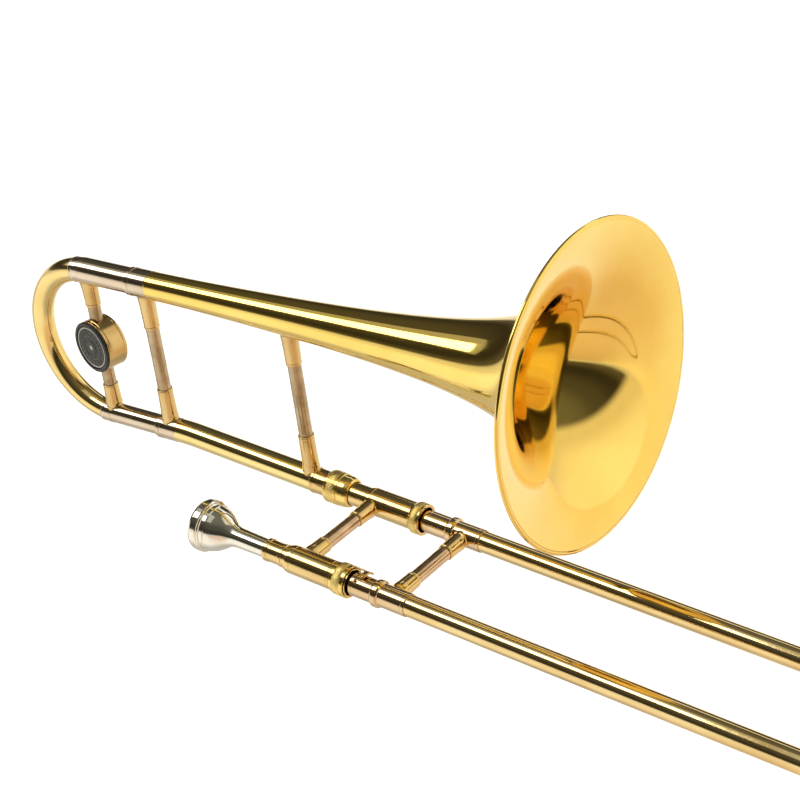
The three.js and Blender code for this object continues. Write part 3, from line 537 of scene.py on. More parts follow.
neckpipe()
turned("slide_receiver_socket", [(NECK_END - 0.2, 7.45), (136.5, 7.9), (136.5, 9.0, 0.15), (135.9, 9.6, 0.1),
                          (135.3, 9.15, 0.06), (134.7, 9.6, 0.06), (134.1, 9.15, 0.06), (133.5, 9.6, 0.06),
                          (132.9, 9.15, 0.06), (132.3, 9.6, 0.06), (131.7, 9.15, 0.06), (131.1, 9.6, 0.06),
                          (130.5, 9.15, 0.06), (129.9, 9.6, 0.06), (129.3, 9.15, 0.06), (128.7, 9.6, 0.06),
                          (126.6, 9.6, 0.2), (126.2, 8.95), (NECK_END + 2.6, 8.95, 0.15), (NECK_END + 2.2, 9.3, 0.25),
                          (NECK_END + 0.5, 9.3, 0.25), (NECK_END + 0.1, 8.75), (NECK_END - 0.2, 8.6)],
       ASSEMBLY, "bell_section", ["slide_receiver"], FITTING, 80, 0.2)


# -------------------------------------------------------------------- braces
def socket_mesh(tube_r, length, foot, segs=56, bend=None):
    """A brace socket about +X, its flange following the tube that it stands on.
    bend gives how far the tube's surface lies below a straight tube's."""
    top = tube_r + length
    body = fillet([
        (-0.5, foot - 0.05, 0.1), (0.1, foot, 0.25), (0.75, foot - 0.35, 0.4),
        (2.2, SOCKET_R + 0.62, 1.6), (4.6, SOCKET_R + 0.34, 1.5),
        (length - 2.1, SOCKET_R - 0.02, 0.3), (length - 1.9, SOCKET_R + 0.13, 0.12),
        (length - 1.0, SOCKET_R + 0.13, 0.12), (length - 0.8, SOCKET_R - 0.04, 0.15),
        (length, SOCKET_R - 0.14, 0.35), (length, ROD_R + 0.1, 0.1), (length - 6.5, ROD_R + 0.1, 0.1), (length - 6.5, 0, 0),
    ], 0.25, 4, closed=False)
    body = [(-0.5, foot * k) for k in (0, 0.25, 0.5, 0.7, 0.85, 0.94)] + body
    verts, faces = lathe(body, segs, closed=False)
    out = []
    R = tube_r + 0.02
    for x, y, z in verts:
        lat = min(abs(y), R * 0.985)
        drop = R - math.sqrt(R * R - lat * lat)
        w = min(1.0, max(0.0, (4.4 - x) / 4.4))
        w = w * w * (3 - 2 * w)
        extra = bend(z) if bend else 0.0
        out.append((tube_r + x - drop * w - extra * w, y, z))
    return out, faces


def socket(name, node, place, body, tube_r, length, foot, material, bend=None):
    """place maps the socket's +X to the brace's direction and its Z to the tube."""
    v, f = socket_mesh(tube_r, length, foot, bend=bend)
    return build(name, v, f, place, body, [node], material)


def rod(name, node, length, place, body, material=NICKEL_ROD):
    e = 0.4
    v, f = lathe(fillet([(0, ROD_R - 1), (0, ROD_R, 0.2), (length, ROD_R, 0.2), (length, ROD_R - 1)], 0.1, 3), 56)
    return build(name, v, f, place, body, [node], material)


UP = rot("Y", -90)      # +X to +Z
DOWN = rot("Y", 90)     # +X to -Z


def bell_brace(name, u, low_r, high_r, low_len, high_len, low_z, tilt=0.0):
    # The socket's local Z is the tube; its X the brace.
    low = BELL_FRAME @ at(u, 0, low_z) @ UP
    t = math.tan(tilt)
    socket(name + "_foot", name + "_lower_socket", low, "bell_section", low_r - (0.35 if tilt else 0), low_len + (0.35 if tilt else 0), 6.5, FITTING_BELL,
           bend=(lambda z: -z * t * 1.0) if tilt else None)
    high = BELL_FRAME @ at(u, 0, BELL_RISE) @ DOWN
    hb = None
    if u > 50:
        slope = (smooth_flare(u + 1) - smooth_flare(u - 1)) / 2
        hb = lambda z: z * slope * -1.0
    hr = smooth_flare(u) if u > 50 else high_r
    socket(name + "_head", name + "_upper_socket", high, "bell_section", hr, high_len + high_r - hr, 6.6, FITTING_BELL, bend=hb)
    z0 = low_z + low_r + low_len - 6.7
    z1 = BELL_RISE - high_r - high_len + 6.7
    rod(name + "_rod", name + "_tube", z1 - z0, BELL_FRAME @ at(u, 0, z0) @ UP, "bell_section")


bell_brace("rear_brace", REAR_BRACE_U, 8.75, 10.05, 24, 24, 0)
bell_brace("front_brace", FRONT_BRACE_U, 8.95, 13.25, 26, 22,
           -FRONT_BRACE_U * math.tan(BELL_TILT), BELL_TILT)

# -------------------------------------------------------------- tuning slide
R_CROOK = BELL_RISE / 2


def crook(deg0, deg1, steps, out_at, bore_at):
    st = []
    for i in range(steps + 1):
        dg = deg0 + (deg1 - deg0) * i / steps
        a = math.radians(dg)
        st.append((Vector((CROOK_U - R_CROOK * math.sin(a), 0, R_CROOK + R_CROOK * math.cos(a))),
                   Vector((-math.cos(a), 0, -math.sin(a))), out_at(dg), bore_at(dg)))
    return st


def crook_out(d):
    return 8.75 - (8.75 - 7.35) * (d / 180)


v, f = sweep(end_rings(crook(CROOK_FERRULE_DEG - 0.5, 180.5 - CROOK_FERRULE_DEG, 120, crook_out, lambda d: crook_out(d) - 0.6)), (0, 1, 0), 72)
build("tuning_crook_tube", v, f, BELL_FRAME, "tuning_slide", ["tuning_crook"], CROOK_BRASS)


def ferrule_out(base, slope):
    """Ferrule radius tapering linearly with the angle in degrees towards its crook end (9 degrees)."""
    def at_deg(d):
        return base - slope * d
    return at_deg


def crook_ferrule(name, node, upper):
    st = []
    n = 26
    for i in range(n + 1):
        f = i / n
        dg = CROOK_FERRULE_DEG * f
        r = (9.35 - 0.03 * dg) if upper else 7.75 + 0.12
        # bead next to the crook
        s = (CROOK_FERRULE_DEG - dg) / CROOK_FERRULE_DEG
        if s < 0.26:
            r += 0.22 * math.sqrt(max(0.0, 1 - ((s - 0.13) / 0.13) ** 2))
        elif 0.26 <= s < 0.31:
            r -= 0.08
        d = dg if upper else 180 - dg
        st += crook(d, d, 1, lambda _d, r=r: r, lambda _d, r=r, u=upper: (8.55 if u else 7.0))[:1]
    if not upper:
        st = [(p, -t, o, b) for p, t, o, b in st]
    v, f = sweep(end_rings(st, 0.3, 0.1), (0, 1, 0), 72)
    build(name, v, f, BELL_FRAME, "tuning_slide", [node], NICKEL)


crook_ferrule("upper_crook_collar", "upper_crook_ferrule", True)
crook_ferrule("lower_crook_collar", "lower_crook_ferrule", False)
turned("upper_leg", [(CROOK_U + 0.02, UPPER_LEG_R - 0.5), (12, UPPER_LEG_R - 0.5), (12, UPPER_LEG_R, 0.2), (CROOK_U + 0.02, UPPER_LEG_R, 0.1)],
       BELL_AXIS, "tuning_slide", ["upper_tuning_leg"], NICKEL, 80, 0.1)
turned("lower_leg", [(CROOK_U + 0.02, LOWER_LEG_R - 0.5), (-4, LOWER_LEG_R - 0.5), (-4, LOWER_LEG_R, 0.2), (CROOK_U + 0.02, LOWER_LEG_R, 0.1)],
       BELL_FRAME, "tuning_slide", ["lower_tuning_leg"], NICKEL, 80, 0.1)

WB_U = CROOK_U + 0.5


def crook_drop(z, sign):
    """The crook curves away from the brace's foot behind the leg's end."""
    back = max(0.0, -(z * sign) - 0.5)
    return R_CROOK - math.sqrt(max(0.0, R_CROOK ** 2 - back ** 2))


low_place = BELL_FRAME @ at(WB_U, 0, 0) @ UP
high_place = BELL_FRAME @ at(WB_U, 0, BELL_RISE) @ DOWN
socket("weight_brace_foot", "weight_brace_lower_socket", low_place, "tuning_slide", LOWER_LEG_R + 0.15, 17, 6.1, FITTING_BELL,
       bend=lambda z: -crook_drop(z, -1))
socket("weight_brace_head", "weight_brace_upper_socket", high_place, "tuning_slide", UPPER_LEG_R + 0.05, 17.5, 6.8, FITTING_BELL,
       bend=lambda z: -crook_drop(z, 1))
z0 = LOWER_LEG_R + 0.15 + 17 - 6.7
z1 = BELL_RISE - UPPER_LEG_R - 0.05 - 17.5 + 6.7
rod("weight_brace_rod", "weight_brace_tube", z1 - z0, BELL_FRAME @ at(WB_U, 0, z0) @ UP, "tuning_slide")


def counterweight():
    half = WEIGHT_LENGTH / 2
    place = BELL_FRAME @ at(WB_U, 0, R_CROOK) @ Matrix.Rotation(-math.pi / 2 - WEIGHT_TWIST, 4, "Z")
    drum = [(-half, 0), (-half, 7.0, 0.3), (-half - 0.0, 12.0), (-half, WEIGHT_R - 1.3, 0.5), (-half + 1.1, WEIGHT_R - 0.05, 0.8),
            (-half + 2.6, WEIGHT_R, 0.1), (-half + 2.9, WEIGHT_R - 0.25, 0.1), (-half + 3.3, WEIGHT_R - 0.25, 0.1), (-half + 3.6, WEIGHT_R, 0.1),
            (half - 4.4, WEIGHT_R, 0.1), (half - 4.1, WEIGHT_R - 0.25, 0.1), (half - 3.7, WEIGHT_R - 0.25, 0.1), (half - 3.4, WEIGHT_R, 0.1),
            (half - 1.6, WEIGHT_R, 0.3), (half - 1.6, WEIGHT_R - 2.4, 0.1), (half - 0.9, WEIGHT_R - 3.2, 0.2), (half - 0.9, 0)]
    v, f = lathe(fillet(drum, 0.3, 5, closed=False), 96, closed=False)
    build("weight_drum", v, f, place, "tuning_slide", ["counterweight_drum"], FITTING_BELL)
    bezel = [(half - 1.45, WEIGHT_R - 0.1, 0.1), (half - 1.45, WEIGHT_R - 2.3, 0.1), (half - 0.5, WEIGHT_R - 3.1, 0.2),
             (half + 0.05, WEIGHT_R - 3.1, 0.25), (half + 0.45, WEIGHT_R - 2.3, 0.4), (half + 0.45, WEIGHT_R - 0.9, 0.4), (half - 0.2, WEIGHT_R - 0.1, 0.3)]
    v, f = lathe(fillet(bezel, 0.2, 5), 96)
    build("weight_bezel", v, f, place, "tuning_slide", ["counterweight_bezel"], ENAMEL)
    # Plain round badge: dark field, raised metal rings, domed centre boss.
    R = WEIGHT_R - 3.3
    field = [(half - 0.6, 0), (half - 0.6, R), (half - 0.25, R, 0.1), (half - 0.15, R - 0.3, 0.1), (half - 0.15, 0)]
    v, f = lathe(fillet(field, 0.1, 3, closed=False), 96, closed=False)
    build("badge_field", v, f, place, "tuning_slide", ["counterweight_badge"], ENAMEL)

    def ring(name, r0, r1, h, mat, slot):
        pr = [(half - 0.2, r0), (half - 0.2, r1), (half + h, r1, 0.15), (half + h, r0, 0.15)]
        v, f = lathe(fillet(pr, 0.12, 4), 96)
        build(name, v, f, place, "tuning_slide", [], mat)

    ring("badge_outer_ring", R - 1.5, R - 0.5, 0.10, BADGE_LIGHT, "nickel_silver")
    ring("badge_inner_ring", R - 7.4, R - 6.6, 0.12, BADGE_METAL, "nickel_silver")
    # A ring of short bars between the two rings.
    for k in range(24):
        a = 2 * math.pi * k / 24
        r0, r1 = R - 5.9, R - 2.6
        w = 0.42
        b = []
        for x in (half - 0.2, half + 0.06):
            for r, s in ((r0, -w), (r0, w), (r1, w * 1.25), (r1, -w * 1.25)):
                y = r * math.sin(a) + s * math.cos(a)
                z = r * math.cos(a) - s * math.sin(a)
                b.append((x, y, z))
        bars.append(b)
    verts, faces = [], []
    for b in bars:
        o = len(verts)
        verts += b
        faces += [(o, o + 1, o + 2, o + 3), (o + 7, o + 6, o + 5, o + 4), (o, o + 4, o + 5, o + 1),
                  (o + 1, o + 5, o + 6, o + 2), (o + 2, o + 6, o + 7, o + 3), (o + 3, o + 7, o + 4, o)]
    obj = build("badge_bars", verts, faces, place, "tuning_slide", [], BADGE_METAL, smooth=False)
    bev = obj.modifiers.new("bevel", "BEVEL")
    bev.width = 0.00007
    bev.segments = 2
    boss = [(half - 0.2, 0), (half - 0.2, 5.2), (half + 0.1, 5.2, 0.2), (half + 0.24, 3.8, 0.6), (half + 0.26, 2.6, 0.2), (half + 0.26, 0)]
    v, f = lathe(fillet(boss, 0.2, 4, closed=False), 72, closed=False)
    build("badge_boss", v, f, place, "tuning_slide", [], ENAMEL)
    ring("badge_boss_ring", 3.3, 3.8, 0.30, BADGE_METAL, "nickel_silver")
    # An eight-petalled centre.
    verts, faces = [], []
    m = 96
    for x, k in ((half + 0.1, 1.0), (half + 0.34, 1.0), (half + 0.42, 0.8)):
        for i in range(m):
            a = 2 * math.pi * i / m
            r = k * (1.25 + 0.95 * math.cos(4 * a) ** 2)
            verts.append((x, r * math.sin(a), r * math.cos(a)))
    for j in range(2):
        faces += [(j * m + i, j * m + (i + 1) % m, (j + 1) * m + (i + 1) % m, (j + 1) * m + i) for i in range(m)]
    verts += [(half + 0.1, 0, 0), (half + 0.46, 0, 0)]
    faces += [((i + 1) % m, i, 3 * m) for i in range(m)]
    faces += [(2 * m + i, 2 * m + (i + 1) % m, 3 * m + 1) for i in range(m)]
    build("badge_centre", verts, faces, place, "tuning_slide", [], BADGE_LIGHT)


bars = []
BADGE_LIGHT = metal("badge_rim_metal", (0.44, 0.43, 0.38), (0.27, 0.265, 0.23), (0.2, 0.36),
                    (1200, 1200, 1200), (0, 0, 0), 0.15, 0.05, 0.2, crevice_shade_and_tarnish=0.5)
BADGE_METAL = metal("badge_metal", (0.11, 0.107, 0.09), (0.05, 0.048, 0.04), (0.2, 0.36),
                    (1200, 1200, 1200), (0, 0, 0), 0.15, 0.05, 0.2, crevice_shade_and_tarnish=0.6)
counterweight()


# ----------------------------------------------------------- inner hand slide
def inner_tube(name, node, start, place):
    turned(name, [(start, BORE_R), (INNER_TUBE_END, BORE_R, 0.05), (INNER_TUBE_END, STOCKING_R - 0.12, 0.08),
                  (INNER_TUBE_END - 1, STOCKING_R, 0.4), (INNER_TUBE_END - STOCKING_LENGTH, STOCKING_R, 0.3),
                  (INNER_TUBE_END - STOCKING_LENGTH - 3, INNER_TUBE_R, 0.3), (start, INNER_TUBE_R, 0.1)],
           place, "inner_slide", [node], CHROME, 72, 0.08, 3)


inner_tube("bell_side_inner", "bell_side_inner_tube", 142.0, ASSEMBLY)
inner_tube("mouthpiece_side_inner", "mouthpiece_side_inner_tube", 156.6, MOUTH)
turned("tenon", [(116, BORE_R), (141.6, BORE_R), (141.6, 6.8), (160.6, 6.8), (160.6, 8.05, 0.2), (141, 8.05),
                 (141, 9.2, 0.2), (138, 9.2, 0.2), (138, 7.45), (116, 6.95, 0.3)],
       ASSEMBLY, "inner_slide", ["slide_tenon"], FITTING, 72)


def lock_nut():
    # Knurled band of the nut: straight knurling, 72 ridges.
    prof = fillet([(126.9, 10.05), (137.6, 10.05), (137.6, 9.75), (141.5, 9.75), (141.5, 8.45), (146.4, 8.45),
                   (146.4, 8.9, 0.4), (145.4, 10.0, 0.6), (142.6, 10.85, 1.0), (138.6, 11.15, 0.4),
                   (138.3, 10.75, 0.15), (137.7, 10.75, 0.15), (137.4, 11.4, 0.3), (136.3, 11.4, 0.2), (136.1, 11.25, 0.1),
                   (128.9, 11.25, 0.1), (128.7, 11.4, 0.2), (127.7, 11.4, 0.4), (126.9, 10.8, 0.3)], 0.2, 4)
    v, f = lathe(prof, 144)
    build("lock_nut_body", v, f, ASSEMBLY, "lock_nut", ["bell_lock_nut"], NUT_BRASS)
    knurl("lock_nut_knurl", [128.95, 129.3, 135.7, 136.05], 11.2, 0.16, 76, ASSEMBLY, "lock_nut")


def knurl(name, xs, r0, height, n, place, body):
    """A band of straight knurling: n ridges running along X."""
    verts, faces = [], []
    m = n * 6
    for i, x in enumerate(xs):
        for k in range(m):
            a = 2 * math.pi * k / m
            h = 0.5 + 0.5 * math.cos(a * n)
            r = r0 + (height * h if i in (1, 2) else -0.2)
            verts.append((x, r * math.sin(a), r * math.cos(a)))
    for i in range(3):
        for k in range(m):
            faces.append((i * m + k, i * m + (k + 1) % m, (i + 1) * m + (k + 1) % m, (i + 1) * m + k))
    return build(name, verts, faces, place, body, [], KNURLED)


lock_nut()
turned("bell_side_barrel", [(160.6, 6.85), (163.4, 6.85), (163.4, 8.65), (205.4, 8.65), (205.8, 9.0, 0.1), (205.8, 10.6, 0.2),
                            (205.2, 10.9, 0.3), (204.4, 10.9, 0.2), (204.1, 10.7, 0.12), (199.0, 10.7, 0.2),
                            (198.2, 10.1, 0.4), (196.9, 9.45, 0.5),
                            (164.9, 9.4, 0.1), (164.6, 9.2, 0.08), (164.2, 9.2, 0.08), (163.9, 9.4, 0.1),
                            (163.0, 9.4, 0.3), (161.4, 9.1, 0.4), (160.6, 8.2, 0.4)],
       ASSEMBLY, "inner_slide", ["bell_side_cork_barrel"], FITTING, 88)
knurl("bell_side_barrel_knurl", [198.9, 199.2, 203.9, 204.2], 10.76, 0.14, 72, ASSEMBLY, "inner_slide")
for nm, place in (("bell_side_cork", ASSEMBLY), ("mouthpiece_side_cork", MOUTH)):
    turned(nm + "_bumper", [(163.9, 6.85), (186, 6.85), (186, 8.3, 0.4), (163.9, 8.3, 0.3)], place, "inner_slide", [nm], CORK, 56)
turned("mouthpiece_side_barrel", [(156.3, 6.85), (163.4, 6.85), (163.4, 8.45), (207.2, 8.45), (207.6, 8.8, 0.1), (207.6, 9.7, 0.15),
                                  (206.9, 9.7, 0.15), (206.9, 9.05, 0.1), (194.3, 9.05, 0.1), (194.3, 9.5, 0.2), (192.9, 9.5, 0.1), (192.6, 9.3, 0.08), (192.2, 9.3, 0.08),
                                  (191.9, 9.5, 0.1), (162.4, 9.5, 0.1), (162.1, 9.3, 0.08), (161.7, 9.3, 0.08), (161.4, 9.5, 0.1),
                                  (159.0, 9.5, 0.3), (157.0, 9.1, 0.4), (156.3, 8.2, 0.4)],
       MOUTH, "inner_slide", ["mouthpiece_side_cork_barrel"], FITTING, 88)
turned("receiver", [(138.2, 6.85), (156.4, 6.1), (156.4, 7.1, 0.2), (153.6, 7.2, 0.2), (153.2, 7.8, 0.2), (151.2, 7.8, 0.2),
                    (150.8, 7.4, 0.2), (141.4, 7.4, 0.2), (141, 7.8, 0.2), (138.6, 7.8, 0.25), (138.2, 7.5, 0.2)],
       MOUTH, "inner_slide", ["mouthpiece_receiver"], FITTING, 72)
turned("lead_tube", [(164.2, 5.55), (196, 5.2), (380, 5.75), (380, 5.98), (164.2, 5.98)],
       MOUTH, "inner_slide", ["leadpipe"], TUBE_BRASS, 48, 0.05, 2)


def slide_brace(name, x, ra, rb, length, foot, body):
    # +X of the socket along -Y, its Z along +X.
    a_place = ASSEMBLY @ at(x, 0, 0) @ Matrix(((0, 0, 1, 0), (-1, 0, 0, 0), (0, -1, 0, 0), (0, 0, 0, 1)))
    b_place = MOUTH @ at(x, 0, 0) @ Matrix(((0, 0, 1, 0), (1, 0, 0, 0), (0, 1, 0, 0), (0, 0, 0, 1)))
    socket(name + "_bell_side", name + "_bell_side_socket", a_place, body, ra, length, foot, FITTING)
    socket(name + "_mouthpiece_side", name + "_mouthpiece_side_socket", b_place, body, rb, length, foot, FITTING)
    y0 = ra + length - 6.7
    y1 = SLIDE_WIDTH - rb - length + 6.7
    rod(name + "_rod", name + "_tube", y1 - y0, ASSEMBLY @ at(x, -y0, 0) @ rot("Z", -90), body, NICKEL_ROD_SLIDE)


slide_brace("inner_brace", GRIP_X, 9.4, 9.5, 15, 6.5, "inner_slide")


def sector(r0, r1, a0, a1, x0, x1, n=20):
    """A curved bar; angles in degrees from +Z towards +Y."""
    verts, faces = [], []
    for i in range(n + 1):
        a = math.radians(a0 + (a1 - a0) * i / n)
        s, c = math.sin(a), math.cos(a)
        for x, r in ((x0, r0), (x0, r1), (x1, r1), (x1, r0)):
            verts.append((x, r * s, r * c))
    for i in range(n):
        o = 4 * i
        for j in range(4):
            faces.append((o + j, o + (j + 1) % 4, o + 4 + (j + 1) % 4, o + 4 + j))
    faces.append((0, 3, 2, 1))
    o = 4 * n
    faces.append((o, o + 1, o + 2, o + 3))
    return verts, faces


def bevelled(obj, width, segments=3, angle=35):
    m = obj.modifiers.new("bevel", "BEVEL")
    m.width = width
    m.segments = segments
    m.limit_method = "ANGLE"
    m.angle_limit = math.radians(angle)
    m.harden_normals = True
    return obj


def slide_lock():
    ring = fillet([(194.7, 9.35), (206.5, 9.35), (206.5, 10.4, 0.25), (206.1, 10.85, 0.25), (203.9, 10.85, 0.3), (203.5, 10.5, 0.12), (197.2, 10.5, 0.2), (196.9, 10.0, 0.2), (194.7, 9.95, 0.3)], 0.2, 4)
    v, f = lathe(ring, 96)
    build("lock_ring", v, f, MOUTH, "slide_lock", ["slide_lock_ring"], NUT_BRASS)
    knurl("lock_ring_knurl", [197.4, 197.7, 203.3, 203.6], 10.55, 0.15, 72, MOUTH, "slide_lock")
    v, f = sector(9.95, 10.75, 22, 52, 204, 218.6)
    bevelled(build("lock_ring_arm", v, f, MOUTH, "slide_lock", [], FITTING), 0.00025)
    v, f = sector(9.2, 10.75, -14, 52, 215.2, 218.6)
    bevelled(build("lock_ring_hook", v, f, MOUTH, "slide_lock", [], FITTING), 0.0003)


slide_lock()


# ----------------------------------------------------------- outer hand slide
def outer_tube(name, node, place):
    turned(name, [(OUTER_TUBE_START, OUTER_TUBE_BORE_R), (OUTER_TUBE_END + 0.2, OUTER_TUBE_BORE_R), (OUTER_TUBE_END + 0.2, OUTER_TUBE_R, 0.1),
                  (OUTER_TUBE_START, OUTER_TUBE_R, 0.15)],
           place, "outer_slide", [node], TUBE_BRASS, 72, 0.1, 3)


outer_tube("bell_side_outer", "bell_side_outer_tube", ASSEMBLY)
outer_tube("mouthpiece_side_outer", "mouthpiece_side_outer_tube", MOUTH)


def outer_ferrule(name, node, place):
    turned(name, [(209, 7.15), (252, 7.15), (252, 7.55, 0.1), (251.2, 7.75, 0.2), (249.8, 7.75, 0.1), (249.5, 7.62, 0.08), (249.1, 7.62, 0.08), (248.8, 7.75, 0.1),
                  (231.8, 7.75, 0.3), (231.3, 8.4, 0.35), (230.4, 9.05, 0.5), (228.7, 9.15, 0.5), (227.0, 9.05, 0.5), (226.1, 8.4, 0.35), (225.6, 7.75, 0.3),
                  (211.6, 7.75, 0.1), (211.3, 7.6, 0.08), (210.9, 7.6, 0.08), (210.6, 7.75, 0.1), (209, 7.75, 0.3)],
           place, "outer_slide", [node], NICKEL_TUBE, 80, 0.2)


outer_ferrule("bell_side_ferrule", "bell_side_outer_ferrule", ASSEMBLY)
outer_ferrule("mouthpiece_side_ferrule", "mouthpiece_side_outer_ferrule", MOUTH)
v, f = lathe(fillet([(7.2, 0), (7.2, 1.7, 0.2), (7.9, 1.35, 0.3), (9.5, 1.25, 0.2), (9.8, 0.9, 0.2), (9.8, 0)], 0.2, 4, closed=False), 32, closed=False)
build("lock_stud", v, f, MOUTH @ rot("X", 34) @ at(212.2, 0, 0) @ rot("Y", -90), "outer_slide", [], NICKEL_TUBE)
slide_brace("outer_brace", OUTER_BRACE_X, 7.75, 7.75, 16, 6.2, "outer_slide")

R_BOW = SLIDE_WIDTH / 2


def end_bow():
    st = [(Vector((OUTER_TUBE_END + 0.2, 0, 0)), Vector((1, 0, 0))), (Vector((BOW_START - 12, 0, 0)), Vector((1, 0, 0)))]
    n = 96
    for i in range(n + 1):
        a = math.pi * i / n
        st.append((Vector((BOW_START + R_BOW * math.sin(a), -R_BOW + R_BOW * math.cos(a), 0)), Vector((math.cos(a), -math.sin(a), 0))))
    st += [(Vector((BOW_START - 12, -SLIDE_WIDTH, 0)), Vector((-1, 0, 0))), (Vector((OUTER_TUBE_END + 0.2, -SLIDE_WIDTH, 0)), Vector((-1, 0, 0)))]
    v, f = sweep(end_rings([(p, t, BOW_R, BOW_BORE_R) for p, t in st]), (0, 0, 1), 64)
    build("bow_tube", v, f, ASSEMBLY, "outer_slide", ["end_bow"], TUBE_BRASS)
    for nm, node, place in (("bell_side_bow_collar", "bell_side_bow_ferrule", ASSEMBLY), ("mouthpiece_side_bow_collar", "mouthpiece_side_bow_ferrule", MOUTH)):
        turned(nm, [(893, 7.05), (914, 7.05), (914, 7.9, 0.15), (913.4, 8.3, 0.3), (911.6, 8.3, 0.25), (911.3, 8.1, 0.1), (910.8, 8.1, 0.1), (910.5, 8.25, 0.15),
                    (896.5, 8.25, 0.15), (896.2, 8.1, 0.1), (895.7, 8.1, 0.1), (895.4, 8.3, 0.25), (893.6, 8.3, 0.3), (893, 7.9, 0.15)],
               place, "outer_slide", [node], NICKEL_TUBE, 80, 0.15)
    apex = BOW_START + R_BOW
    centre = ASSEMBLY @ at(0, -R_BOW, 0)

    # Bumper cup: its flange sits on the bow's outer wall.
    prof = fillet([(5.0, 0), (5.0, 6.1), (7.55, 6.3, 0.3), (8.3, 5.9, 0.4), (9.4, 5.3, 0.8), (11.7, 5.2, 0.5), (12.2, 5.75, 0.3), (16, 5.75, 0.35),
                   (16, 4.95, 0.15), (11.2, 4.95, 0.1), (11.2, 0)], 0.3, 5, closed=False)
    vv, ff = lathe(prof, 80, closed=False)
    out = []
    RO = R_BOW + BOW_R
    for x, y, z in vv:
        w = min(1.0, max(0.0, (11.0 - x) / 3.4))
        w = w * w * (3 - 2 * w)
        drop = (BOW_R - math.sqrt(BOW_R ** 2 - min(abs(z), 6.9) ** 2)) + (RO - math.sqrt(RO ** 2 - y ** 2))
        out.append((apex + x - drop * w, y, z))
    build("bumper_housing", out, ff, centre, "outer_slide", ["bumper_cup"], FITTING)
    turned("bumper_foot", [(apex + 11.3, 0), (apex + 11.3, 4.75, 0.2), (apex + 16.8, 4.75, 0.3), (apex + 17.3, 4.6, 0.3), (apex + 20, 4.1, 0.8), (apex + 21, 3.0, 0.3), (apex + 21, 0)],
           centre, "outer_slide", ["bumper_tip"], RUBBER, 64)


end_bow()


# ------------------------------------------------------------------ water key
def plate(points, depth, name, place, body, nodes, material, bevel=0.0004, segs=3):
    """An outline in local X-Z pulled along Y by depth, centred, edges rounded."""
    n = len(points)
    verts = [(x, -depth / 2, z) for x, z in points] + [(x, depth / 2, z) for x, z in points]
    faces = [tuple(range(n)), tuple(range(2 * n - 1, n - 1, -1))]
    faces += [(i, (i + 1) % n, n + (i + 1) % n, n + i) for i in range(n)]
    obj = build(name, verts, faces, place, body, nodes, material)
    return bevelled(obj, bevel, segs)


def smooth_line(points, steps=6):
    """Catmull-Rom through points (open)."""
    p = [np.array(q, float) for q in points]
    p = [2 * p[0] - p[1]] + p + [2 * p[-1] - p[-2]]
    out = []
    for i in range(1, len(p) - 2):
        for j in range(steps):
            t = j / steps
            a, b, c, d = p[i - 1], p[i], p[i + 1], p[i + 2]
            out.append(0.5 * ((2 * b) + (c - a) * t + (2 * a - 5 * b + 4 * c - d) * t * t + (3 * b - a - 3 * c + d) * t ** 3))
    out.append(p[-2])
    return out


